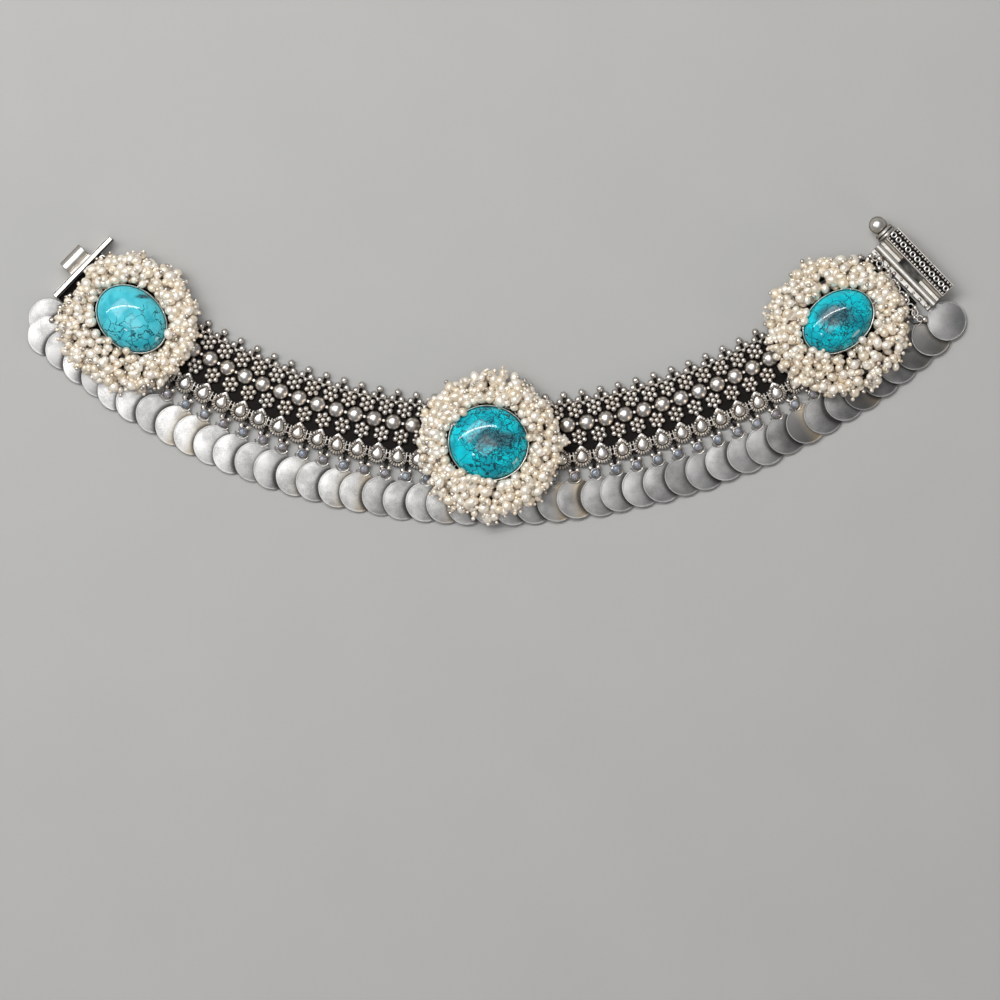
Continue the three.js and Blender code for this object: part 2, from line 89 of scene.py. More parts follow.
@dataclass
class Shell:
    """A closed surface in millimetres, and what its finish reads at each point.

    Attributes:
        points: Places of the vertices, one row each.
        quads: Faces with four corners.
        tris: Faces with three corners.
        wear_shade_and_cloud: 0 where metal is rubbed bright, 1 in its dark hollows;
        painted shade on the discs and the pearls, and the earthy cloud on the stones.
        tone: One value from 0 to 1 for each repeated piece.
        local: Place within the repeated piece, for a pattern that follows it.
    """

    points: Array
    quads: Array
    tris: Array
    wear_shade_and_cloud: Array
    tone: Array
    local: Array

    @classmethod
    def bare(cls, points: Array, quads: Array, tris: Array) -> "Shell":
        """A shell with no wear or painted shade and an even tone."""
        count = len(points)
        return cls(points, quads, tris, np.zeros(count), np.full(count, 0.5), points)

    def darkened(self, wear_shade_and_cloud: Array | float) -> "Shell":
        """The same shell with this wear or painted shade, one value or one for each
        point.
        """
        return replace(self, wear_shade_and_cloud=np.broadcast_to(wear_shade_and_cloud, len(self.points)))

    def darkened_below(self, bright: float, dark: float, most: float = 1.0) -> "Shell":
        """Wear or painted shade by height: none from bright upwards, most from dark
        downwards.
        """
        share = (bright - self.points[:, 2]) / (bright - dark)
        return self.darkened(most * smooth(share))

    def moved(self, x: float = 0.0, y: float = 0.0, z: float = 0.0) -> "Shell":
        """The same shell pushed by x, y and z."""
        return replace(self, points=self.points + np.array([x, y, z]))

    def at(self, spots: Array | list[tuple]) -> "Shell":
        """A copy of the shell pushed to each spot, joined."""
        return merged([self.moved(*spot) for spot in spots])

    def widened(self, half: Array, base: float = 10.0) -> "Shell":
        """The shell pushed out from Z: r becomes r - base + half, for x and for y."""
        x, y, z = self.points.T
        away = np.hypot(x, y)
        safe = np.where(away > 0, away, 1.0)
        grown = away - base
        points = [x / safe * (grown + half[0]), y / safe * (grown + half[1])]
        return replace(self, points=np.stack([*points, z], axis=1))

    def seated(self, seats: "Seats") -> "Shell":
        """The shell on the first of the seats, keeping its own tones."""
        return replace(self, points=self.points @ seats.turns[0].T + seats.origins[0])

    def along_y(self) -> "Shell":
        """The shell laid over, so that what ran up z runs along y."""
        x, y, z = self.points.T
        return replace(self, points=np.stack([x, z, -y], axis=1))

    def spread(self, seats: "Seats") -> "Shell":
        """A copy of the shell on each seat, joined.

        Each copy's points are turn times point plus origin.

        Args:
            seats: Where the copies go.

        Returns:
            One shell with all the copies.
        """
        copies, count = len(seats.origins), len(self.points)
        points = np.einsum("nij,kj->nki", seats.turns, self.points)
        points = (points + seats.origins[:, None, :]).reshape(-1, 3)
        step = (np.arange(copies) * count)[:, None, None]
        return Shell(
            points,
            (self.quads[None] + step).reshape(-1, 4),
            (self.tris[None] + step).reshape(-1, 3),
            np.tile(self.wear_shade_and_cloud, copies),
            np.repeat(seats.tones, count),
            np.tile(self.local, (copies, 1)),
        )


@dataclass(frozen=True)
class Seats:
    """Places for the copies of a piece.

    Attributes:
        turns: A 3 by 3 matrix for each copy, its turn and size.
        origins: Where each copy's own origin goes.
        tones: Each copy's tone.
    """

    turns: Array
    origins: Array
    tones: Array

    @classmethod
    def sized(cls, sizes: Array, origins: Array, tones: Array) -> "Seats":
        """Unturned seats, each copy scaled by its own size."""
        return cls(np.eye(3)[None] * sizes[:, None, None], origins, tones)


def smooth(share: Array) -> Array:
    """Eases 0 to 1: t squared times (3 - 2 t), held at the ends."""
    held = np.clip(share, 0.0, 1.0)
    return held * held * (3.0 - 2.0 * held)


def merged(shells: list[Shell]) -> Shell:
    """All the shells as one, their faces renumbered."""
    starts = np.cumsum([0] + [len(shell.points) for shell in shells[:-1]])
    return Shell(
        np.concatenate([shell.points for shell in shells]),
        np.concatenate([s.quads + start for s, start in zip(shells, starts)]),
        np.concatenate([s.tris + start for s, start in zip(shells, starts)]),
        np.concatenate([shell.wear_shade_and_cloud for shell in shells]),
        np.concatenate([shell.tone for shell in shells]),
        np.concatenate([shell.local for shell in shells]),
    )


def loft(
    rings: Array, start: Array | None = None, end: Array | None = None
) -> Shell:
    """A skin over rings of points, which run anticlockwise seen from the last ring.

    Args:
        rings: Rows of rings, each with the same count of points, as rows by
            columns by 3.
        start: A point that closes the first ring, or None.
        end: A point that closes the last ring, or None. With neither, the last
            ring is joined to the first.

    Returns:
        The closed shell.
    """
    rows, columns, _ = rings.shape
    index = np.arange(rows * columns).reshape(rows, columns)
    closed = start is None and end is None
    low = index if closed else index[:-1]
    high = np.roll(index, -1, axis=0) if closed else index[1:]
    faces = [low, np.roll(low, -1, axis=1), np.roll(high, -1, axis=1), high]
    points = [rings.reshape(-1, 3)]
    tris = []
    if not closed:
        first, last = index[0], index[-1]
        foot = np.full(columns, rows * columns)
        tris = [
            np.stack([foot, np.roll(first, -1), first], axis=1),
            np.stack([foot + 1, last, np.roll(last, -1)], axis=1),
        ]
        points += [np.array([start]), np.array([end])]
    return Shell.bare(
        np.concatenate(points),
        np.stack(faces, axis=-1).reshape(-1, 4),
        np.concatenate(tris) if tris else np.zeros((0, 3), int),
    )


def oval(turn: Array, across: Array | float, up: Array | float) -> Array:
    """Rows of two: across cos t and up sin t."""
    return np.stack([across * np.cos(turn), up * np.sin(turn)], axis=1)


def turned(profile: list[tuple[float, float]] | Array, sides: int) -> Shell:
    """A profile turned round Z: x = r cos t, y = r sin t, z = h.

    Args:
        profile: Pairs of radius and height from the bottom up. If the first and
            last lie on the axis they close the shell, otherwise the profile is a
            loop, its outer side going up.
        sides: Steps round the axis.

    Returns:
        The closed shell.
    """
    rows = np.asarray(profile, float)
    on_axis = rows[0, 0] == 0.0
    body = rows[1:-1] if on_axis else rows
    turn = np.arange(sides) * TURN / sides
    rings = np.stack(
        [
            np.outer(body[:, 0], np.cos(turn)),
            np.outer(body[:, 0], np.sin(turn)),
            np.outer(body[:, 1], np.ones(sides)),
        ],
        axis=-1,
    )
    if not on_axis:
        return loft(rings)
    return loft(rings, np.array([0, 0, rows[0, 1]]), np.array([0, 0, rows[-1, 1]]))


def ball(radius: float, sides: int, rows: int) -> Shell:
    """A sphere: r = R cos a and h = R sin a, for a from -90 to 90 degrees."""
    profile = oval(np.linspace(-0.25, 0.25, rows + 1) * TURN, radius, radius)
    profile[[0, -1], 0] = 0.0
    return turned(profile, sides)


def dome(radius: float, heights: tuple, steps: int, sides: int) -> Shell:
    """A cap on a short wall: r = R cos a, h = shoulder + rise sin a, to 90 degrees.

    Args:
        radius: R.
        heights: Of the flat bottom, of the shoulder and of the cap's top.
        steps: Steps up the cap.
        sides: Steps round it.

    Returns:
        The closed shell.
    """
    low, shoulder, top = heights
    cap = oval(np.linspace(0.0, 0.25, steps + 1) * TURN, radius, top - shoulder)
    cap[-1, 0] = 0.0
    foot = [(0.0, low), (radius, low)]
    return turned(np.concatenate([foot, cap + np.array([0.0, shoulder])]), sides)


def ring(major: float, minor: float, sides: int, around: int) -> Shell:
    """A torus: r = major + minor cos a and h = minor sin a, turned round Z."""
    turn = np.arange(around) * TURN / around
    return turned(oval(turn, minor, minor) + np.array([major, 0.0]), sides)


def stack(
    outline: Array, scales: Array | list, heights: Array | list, ends: Pair
) -> Shell:
    """An outline repeated at several heights, each scaled about the origin.

    Args:
        outline: Points of x and y, anticlockwise.
        scales: One scale for each level, from the bottom up.
        heights: One height for each level, or one for each of its points.
        ends: Heights of the middles of the bottom and the top.

    Returns:
        The closed shell.
    """
    flat = np.array(scales)[:, None, None] * outline[None]
    heights = np.array(heights, float).reshape(len(flat), -1, 1)
    heights = np.broadcast_to(heights, (*flat.shape[:2], 1))
    rings = np.concatenate([flat, heights], axis=-1)
    return loft(rings, np.array([0, 0, ends[0]]), np.array([0, 0, ends[1]]))


def block(x: Pair, y: Pair, z: Pair, edge: float = 0.12) -> Shell:
    """A box with small chamfers all round.

    Args:
        x: Low and high side.
        y: Low and high side.
        z: Low and high side.
        edge: Width of the chamfers.

    Returns:
        The closed shell.
    """
    half = np.array([x[1] - x[0], y[1] - y[0]]) / 2
    inner = half - edge
    corner = np.array([[1, 0], [0, 1], [-1, 0], [0, -1]])
    signs = np.array([[1, 1], [-1, 1], [-1, -1], [1, -1]])
    wide = signs * inner
    near = wide + np.abs(corner) * signs * edge
    far = wide + np.abs(np.roll(corner, -1, axis=0)) * signs * edge
    full = np.stack([near, far], axis=1).reshape(-1, 2)
    small = np.repeat(wide, 2, axis=0)
    heights = [z[0], z[0] + edge, z[1] - edge, z[1]]
    rings = [
        np.column_stack([flat, np.full(8, height)])
        for flat, height in zip([small, full, full, small], heights)
    ]
    centre = np.array([[0, 0, z[0]], [0, 0, z[1]]])
    shell = loft(np.stack(rings), centre[0], centre[1])
    return shell.moved((x[0] + x[1]) / 2, (y[0] + y[1]) / 2)


def bar(section: Array, y: Pair) -> Shell:
    """A section of x and z, anticlockwise seen along +Y, carried along Y."""
    rings = [np.insert(section, 1, place, axis=1) for place in (y[1], y[0])]
    middle = section.mean(axis=0)
    ends = [np.insert(middle, 1, place) for place in (y[1], y[0])]
    return loft(np.stack(rings), ends[0], ends[1])


def wire(path: Array, radius: float, across: tuple, sides: int = 8) -> Shell:
    """A round wire along a path.

    The round at each point is p + r (cos a n + sin a t x n), with t the path's
    direction and n square to both t and across.

    Args:
        path: Points of the wire's middle.
        radius: Radius of the wire.
        across: A direction that the path never runs along.
        sides: Points round the wire.

    Returns:
        The closed shell.
    """
    along = np.gradient(path, axis=0)
    along /= np.linalg.norm(along, axis=1, keepdims=True)
    side = np.cross(along, np.array(across, float))
    side /= np.linalg.norm(side, axis=1, keepdims=True)
    other = np.cross(along, side)
    turn = np.arange(sides) * TURN / sides
    rings = path[:, None, :] + radius * (
        np.cos(turn)[None, :, None] * side[:, None, :]
        + np.sin(turn)[None, :, None] * other[:, None, :]
    )
    return loft(rings, path[0], path[-1])


def arc_path(radius: float, start: float, stop: float, steps: int) -> Array:
    """Points of a level arc: x = r cos a, y = r sin a, angles in degrees."""
    flat = oval(np.radians(np.linspace(start, stop, steps)), radius, radius)
    return np.insert(flat, 2, 0.0, axis=1)


def turn_about(axis: int, angle: Array) -> Array:
    """Turning matrices about one axis, one for each angle."""
    angle = np.atleast_1d(np.asarray(angle, float))
    first, second = [(1, 2), (2, 0), (0, 1)][axis]
    turns = np.tile(np.eye(3), (len(angle), 1, 1))
    turns[:, first, first] = turns[:, second, second] = np.cos(angle)
    turns[:, first, second] = -np.sin(angle)
    turns[:, second, first] = np.sin(angle)
    return turns


# The band's arc


@dataclass(frozen=True)
class Medallion:
    """Where a medallion sits on the band, its sizes and its stone's markings.

    Attributes:
        side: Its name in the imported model.
        angle: Its angle on the arc.
        offset: Its distance outwards from the row of domes.
        length: The stone's length along the band.
        width: The stone's width across it.
        reach: How far its pearls reach from their middle.
        stone_shift: x and y from the seat to the stone's middle.
        stone_turn: Turn of the stone in its seat, in degrees.
        pearl_shift: x and y from the seat to the middle of the pearls.
        wall_side: 1 or -1 for a clasp bar beside it along +x or -x, else 0.
        wall: Distance from the seat to that bar.
        seed: Seed for the scatter of its pearls.
        cloud: x, y, half-length and half-width of the stone's earthy cloud, as
            shares of its radius seen from above.
        web: x and y direction in which the dark web gets denser, and its
            density in the middle.
        leaning: Directions of the pearls that lean over the bezel, in degrees
            from +X of the model.
        pale: Whether its stone is a pale one.
    """

    side: str
    angle: float
    offset: float
    length: float
    width: float
    reach: float
    stone_shift: Pair
    stone_turn: float
    pearl_shift: Pair
    wall_side: int
    wall: float
    seed: int
    cloud: tuple[float, float, float, float]
    web: tuple[float, float, float]
    leaning: tuple[float, ...]
    pale: bool = False

    @property
    def half(self) -> Array:
        """The stone's half-axes, along the band and across it."""
        return np.array([self.length, self.width]) / 2


@dataclass(frozen=True)
class Band:
    """The arc that the links follow, and where its columns are.

    Attributes:
        radius: Radius of the arc through the middles of the domes.
        pitch: Step from dome to dome along it.
        columns: How many steps of domes there are, with those under medallions.
        end_space: From the last dome's edge to the clasp's bar.
        dome_radius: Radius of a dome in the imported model.
        bar_thickness: Of the clasp's bars.
        middle_offset: From the row of domes outwards to the middle medallion.
        left_inset: From the left bar to the left medallion, along the arc.
        right_inset: From the right bar to the right medallion.
        flower_offset: From the row of domes to either row of flowers.
        bezel_room: Links this close to the end of a stone are left out.
        seed: Seed for the tones of the copies.
    """

    radius: float = 166.2
    pitch: float = 5.54
    columns: int = 45
    end_space: float = 3.2
    dome_radius: float = 2.15
    bar_thickness: float = 1.3
    middle_offset: float = 3.7
    left_inset: float = 20.4
    right_inset: float = 23.1
    flower_offset: float = 3.88
    bezel_room: float = 2.6
    seed: int = 7

    @property
    def bar_angle(self) -> float:
        """Angle of the clasp's bars, from the arc's middle."""
        past = self.dome_radius + self.end_space + self.bar_thickness / 2
        return ((self.columns - 1) / 2 * self.pitch + past) / self.radius

    @property
    def centre(self) -> Array:
        """The arc's centre, found from the middle medallion's bezel."""
        low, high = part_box("bezel_middle")
        middle = (np.array(low) + np.array(high)) / 2 / MM
        return np.array([middle[0], middle[1] + self.radius + self.middle_offset])

    @property
    def medallions(self) -> tuple[Medallion, ...]:
        """The three medallions, from left to right."""
        left = -self.bar_angle + self.left_inset / self.radius
        right = self.bar_angle - self.right_inset / self.radius
        return (
            Medallion(
                side="left",
                angle=left,
                offset=3.0,
                length=21.5,
                width=16.6,
                reach=20.1,
                stone_shift=(0.0, 0.4),
                stone_turn=-4.0,
                pearl_shift=(-0.1, -0.9),
                wall_side=-1,
                wall=self.left_inset - 0.9,
                seed=44,
                cloud=(0.34, 0.6, 0.26, 0.07),
                web=(0.1, -0.6, 0.26),
                leaning=(226.0, 256.0, 341.0),
                pale=True,
            ),
            Medallion(
                side="middle",
                angle=0.0,
                offset=self.middle_offset,
                length=22.2,
                width=20.6,
                reach=20.9,
                stone_shift=(-0.4, 0.0),
                stone_turn=-14.0,
                pearl_shift=(0.1, -0.5),
                wall_side=0,
                wall=math.inf,
                seed=46,
                cloud=(0.16, 0.10, 0.72, 0.32),
                web=(0.45, 0.1, 0.8),
                leaning=(128.0, 140.0, 31.0, 8.0, 229.0, 243.0, 252.0, 262.0, 272.0),
            ),
            Medallion(
                side="right",
                angle=right,
                offset=2.1,
                length=21.3,
                width=15.7,
                reach=20.4,
                stone_shift=(0.1, 0.6),
                stone_turn=0.0,
                pearl_shift=(-0.6, -0.4),
                wall_side=1,
                wall=self.right_inset - 1.4,
                seed=45,
                cloud=(-0.10, 0.16, 0.6, 0.36),
                web=(0.35, -0.55, 0.62),
                leaning=(158.0, 172.0, 232.0, 247.0, 258.0, 318.0),
            ),
        )

    def column_angles(self, half: bool, extra: int = 0) -> Array:
        """Angles of the columns, or of the half steps between them.

        Args:
            half: Whether to give the half steps.
            extra: How many more to give past the right end.

        Returns:
            The angles, from left to right.
        """
        last = (self.columns - 1) / 2 - (0.5 if half else 0.0)
        count = self.columns - (1 if half else 0) + extra
        return (-last + np.arange(count)) * self.pitch / self.radius

    def origins(self, angles: Array, offset: float, place: Array) -> Array:
        """Places on the band in the model's frame.

        With r = R + offset - y, X = r sin a + x cos a and Y = x sin a - r cos a.

        Args:
            angles: Angles on the arc.
            offset: Distance outwards from the row of domes.
            place: x, y and z in the piece's own frame, one or a row for each.

        Returns:
            One point for each angle.
        """
        x, y, z = np.broadcast_to(place, (len(angles), 3)).T
        radius = self.radius + offset - y
        middle = self.centre
        across = middle[0] + radius * np.sin(angles) + x * np.cos(angles)
        up = middle[1] - radius * np.cos(angles) + x * np.sin(angles)
        return np.stack([across, up, z], axis=1)

    def seats(
        self,
        angles: Array,
        offset: float,
        place: Array | tuple = (0.0, 0.0, 0.0),
        turns: Array | None = None,
    ) -> Seats:
        """Seats on the band for copies of a piece.

        Args:
            angles: Angles on the arc, one for each copy.
            offset: Distance outwards from the row of domes.
            place: x, y and z in the piece's own frame.
            turns: Turns within that frame, or None.

        Returns:
            The seats.
        """
        angles = np.atleast_1d(np.asarray(angles, float))
        spins = turn_about(2, angles)
        if turns is not None:
            spins = spins @ turns
        tones = np.random.default_rng(self.seed + len(angles)).random(len(angles))
        origins = self.origins(angles, offset, np.asarray(place, float))
        return Seats(spins, origins, tones)

    def clear(self, angles: Array, offset: float) -> Array:
        """The angles whose place at this offset isn't under a bezel."""
        here = self.origins(angles, offset, np.zeros(3))
        keep = np.ones(len(angles), bool)
        for medallion in self.medallions:
            centre = self.origins(
                np.array([medallion.angle]), medallion.offset, np.zeros(3)
            )
            away = np.linalg.norm(here - centre, axis=1)
            keep &= away > medallion.length / 2 + self.bezel_room
        return angles[keep]

    def between_bars(self, left: float, right: float, steps: int) -> Array:
        """Even angles between the clasp's bars, this far from their middles."""
        start = -self.bar_angle + left / self.radius
        return np.linspace(start, self.bar_angle - right / self.radius, steps)

    def thread(self, offset: float, height: float, radius: float) -> Shell:
        """A thin round wire along the band between the clasp's bars."""
        room = self.bar_thickness / 2 + 0.6
        angles = self.between_bars(room, 3 * room, 260)
        path = self.origins(angles, offset, np.array([0.0, 0.0, height]))
        return wire(path, radius, UP, 6)

    def rail(self, offset: float, width: float, z: Pair) -> Shell:
        """A flat strip along the band's whole length, between the clasp's bars.

        Args:
            offset: Distance outwards from the row of domes to its middle.
            width: Width of the strip.
            z: Its bottom and top.

        Returns:
            The strip, its ends square and all of it dark.
        """
        angles = self.between_bars(self.bar_thickness / 2 + 0.35, 2.85, 160)
        corners = [(width / 2, z[0]), (-width / 2, z[0])]
        corners += [(-width / 2, z[1]), (width / 2, z[1])]
        rings = [
            self.origins(angles, offset, np.array([0.0, y, height]))
            for y, height in corners
        ]
        rings = np.stack(rings, axis=1)
        middle = rings.mean(axis=1)
        return loft(rings, middle[0], middle[-1]).darkened(1.0)


# Making and dressing


def new_mesh(name: str, shell: Shell, material: bpy.types.Material) -> bpy.types.Mesh:
    """The shell as a mesh in metres, with its finish."""
    mesh = bpy.data.meshes.new(name)
    faces = shell.quads.tolist() + shell.tris.tolist()
    mesh.from_pydata(shell.points * MM, [], faces)
    mesh.materials.append(material)
    return mesh


def placed(name: str, data: bpy.types.ID) -> bpy.types.Object:
    """A new object in the scene, at the origin."""
    piece = bpy.data.objects.new(name, data)
    bpy.context.scene.collection.objects.link(piece)
    return piece


def make(
    name: str,
    shell: Shell,
    material: bpy.types.Material,
    nodes: tuple[str, ...] = (),
    body: Body = Body.ANKLET,
    sharp: float = 38.0,
) -> None:
    """Puts a shell into Blender as a finished piece.

    Args:
        name: The piece's name.
        shell: Its surface, in millimetres in the model's frame.
        material: Its finish.
        nodes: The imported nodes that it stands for.
        body: The body that it rides on.
        sharp: Edges that turn by more degrees than this stay sharp.
    """
    mesh = new_mesh(name, shell, material)
    for label, kind, field, values in (
        ("wear_shade_and_cloud", "FLOAT", "value", shell.wear_shade_and_cloud),
        ("tone", "FLOAT", "value", shell.tone),
        ("local", "FLOAT_VECTOR", "vector", shell.local),
    ):
        attribute = mesh.attributes.new(label, kind, "POINT")
        attribute.data.foreach_set(field, np.ascontiguousarray(values, float).ravel())
    mesh.shade_smooth()
    mesh.set_sharp_from_angle(angle=math.radians(sharp))
    piece = placed(name, mesh)
    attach(piece, body.value)
    if nodes:
        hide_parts(*nodes)
    LOG.info("%s: %d faces", name, len(mesh.polygons))


class Wiring:
    """Nodes of one tree, with short ways to add and join them."""

    def __init__(self, tree: bpy.types.NodeTree) -> None:
        """Starts on an empty tree."""
        self.tree = tree

    def feed(self, node: bpy.types.Node, values: dict) -> None:
        """Joins a node's inputs to outputs, or sets them.

        Args:
            node: The node.
            values: Input name or number to a value or to another node's output.
        """
        for key, value in values.items():
            if isinstance(value, Socket):
                self.tree.links.new(value, node.inputs[key])
            else:
                node.inputs[key].default_value = value

    def add(self, kind: str, values: dict | None = None, **facts) -> bpy.types.Node:
        """Adds a node, sets its own properties from facts and feeds its inputs.

        Args:
            kind: The node's type name without the word ShaderNode.
            values: What its inputs get, as in feed.
            **facts: The node's own properties.

        Returns:
            The node.
        """
        node = self.tree.nodes.new("ShaderNode" + kind)
        for key, fact in facts.items():
            setattr(node, key, fact)
        self.feed(node, values or {})
        return node

    def place(self) -> Socket:
        """The place on the piece, in metres of the model's frame."""
        return self.add("TexCoord").outputs["Object"]

    def attribute(self, name: str, output: str = "Fac") -> Socket:
        """The output that reads one of the piece's own attributes."""
        return self.add("Attribute", attribute_name=name).outputs[output]

    def noise(
        self, place: Socket, scale: Socket | float, detail: float, output: int = 0
    ) -> Socket:
        """Noise at a place, as a value, or as a colour from output 1."""
        values = {"Vector": place, "Scale": scale, "Detail": detail}
        return self.add("TexNoise", values).outputs[output]

    def math(self, operation: str, *values: Socket | float) -> Socket:
        """The output of a Math node on these values or outputs."""
        inputs = dict(enumerate(values))
        return self.add("Math", inputs, operation=operation).outputs[0]

    def times(self, value: Socket, factor: Socket | float) -> Socket:
        """The value times the factor."""
        return self.math("MULTIPLY", value, factor)

    def swing(self, value: Socket, width: float) -> Socket:
        """The value's swing about one half, times the width."""
        return self.times(self.math("SUBTRACT", value, 0.5), width)

    def blend(
        self, share: Socket | float, first: Socket | Colour, second: Socket | Colour
    ) -> Socket:
        """The output of a colour mix from first to second."""
        node = self.add("Mix", data_type="RGBA", blend_type="MIX")
        self.feed(node, {0: share, 6: first, 7: second})
        return node.outputs[2]

    def ramp(self, value: Socket, low: float, high: float) -> Socket:
        """The output that eases from 0 at low to 1 at high."""
        values = {0: value, 1: low, 2: high}
        return self.add("MapRange", values, interpolation_type="SMOOTHSTEP").outputs[0]

    def bump(self, height: Socket, strength: float, distance: float) -> Socket:
        """The normal of a bumpy surface."""
        values = {"Strength": strength, "Distance": distance, "Height": height}
        return self.add("Bump", values).outputs[0]


def tarnish_group() -> bpy.types.NodeTree:
    """Tarnish on silver: hollows darken, with blotches and fine hammering.

    The mask is the wear plus the blotches' swing times the spread, eased.
    """
    tree = bpy.data.node_groups.new("tarnish", "ShaderNodeTree")
    for name, value in (("Wear", 0.0), ("Spread", 0.3), ("Blotch Scale", 900.0)):
        socket = tree.interface.new_socket(
            name, in_out="INPUT", socket_type="NodeSocketFloat"
        )
        socket.default_value = value
    wiring = Wiring(tree)
    inputs = tree.nodes.new("NodeGroupInput").outputs
    place = wiring.place()
    blotch = wiring.noise(place, inputs["Blotch Scale"], 5.0)
    fine = wiring.noise(place, 4200.0, 3.0)
    spread = wiring.times(wiring.swing(blotch, 2.0), inputs["Spread"])
    mask = wiring.ramp(wiring.math("ADD", inputs["Wear"], spread), 0.18, 0.78)
    end = tree.nodes.new("NodeGroupOutput")
    for name, source in (("Mask", mask), ("Blotch", blotch), ("Fine", fine)):
        tree.interface.new_socket(
            name, in_out="OUTPUT", socket_type="NodeSocketFloat"
        )
        tree.links.new(source, end.inputs[name])
    return tree


def new_material(name: str) -> tuple[bpy.types.Material, Wiring, bpy.types.Node]:
    """A material with its wiring and its Principled node."""
    material = bpy.data.materials.new(name)
    material.use_nodes = True
    wiring = Wiring(material.node_tree)
    return material, wiring, material.node_tree.nodes["Principled BSDF"]


@dataclass(frozen=True)
class SilverFinish:
    """Silver with tarnished hollows, and painted shade where it turns away.

    On its slopes it has a painted warm reflection.

    Attributes:
        name: The material's name.
        bright: Colour of the rubbed metal.
        warm: Colour that some pieces lean to, and of the painted warm reflection on
        the slopes.
        dark: Colour of the tarnish and of the painted shade where it turns away.
        roughness: Of the rubbed metal.
        spread: How far blotches shift the tarnish.
        blotch_scale: Size of the blotches.
        relief: Height of the fine hammering.
        glare: Tint of its sheen.
    """

    name: str
    bright: Colour
    warm: Colour
    dark: Colour
    roughness: float
    spread: float = 0.3
    blotch_scale: float = 900.0
    relief: float = 0.12
    glare: Colour = (0.35, 0.33, 0.31, 1.0)

    def build(self, tarnish: bpy.types.NodeTree) -> bpy.types.Material:
        """Makes the material with the shared tarnish group."""
        material, wiring, shader = new_material(self.name)
        group = wiring.add("Group", node_tree=tarnish)
        inputs = {
            "Wear": wiring.attribute("wear_shade_and_cloud"),
            "Spread": self.spread,
            "Blotch Scale": self.blotch_scale,
        }
        wiring.feed(group, inputs)
        names = ("Mask", "Blotch", "Fine")
        mask, blotch, fine = (group.outputs[name] for name in names)
        lean = wiring.times(wiring.attribute("tone"), 0.6)
        metal = wiring.blend(lean, self.bright, self.warm)
        cloudy = wiring.times(wiring.ramp(blotch, 0.35, 0.75), 0.22)
        metal = wiring.blend(cloudy, metal, self.dark)
        facing = wiring.add("LayerWeight", {"Blend": 0.5}).outputs["Facing"]
        # Painted warm reflection on the slopes, where the surface starts to turn away.
        leaning = wiring.times(wiring.ramp(facing, 0.05, 0.4), 0.55)
        metal = wiring.blend(leaning, metal, self.warm)
        # Painted shade: darker where the surface turns away from the view.
        painted_edge_shade = wiring.times(wiring.ramp(facing, 0.3, 0.95), 0.85)
        metal = wiring.blend(painted_edge_shade, metal, self.dark)
        base = wiring.math("ADD", wiring.times(blotch, 0.12), self.roughness)
        finish = {
            "Base Color": wiring.blend(mask, metal, self.dark),
            "Roughness": wiring.math("ADD", wiring.times(mask, 0.35), base),
            "Metallic": wiring.math("SUBTRACT", 1.0, wiring.times(mask, 0.5)),
            "Normal": wiring.bump(fine, self.relief, 0.0001),
            "Specular Tint": self.glare,
        }
        wiring.feed(shader, finish)
        return material


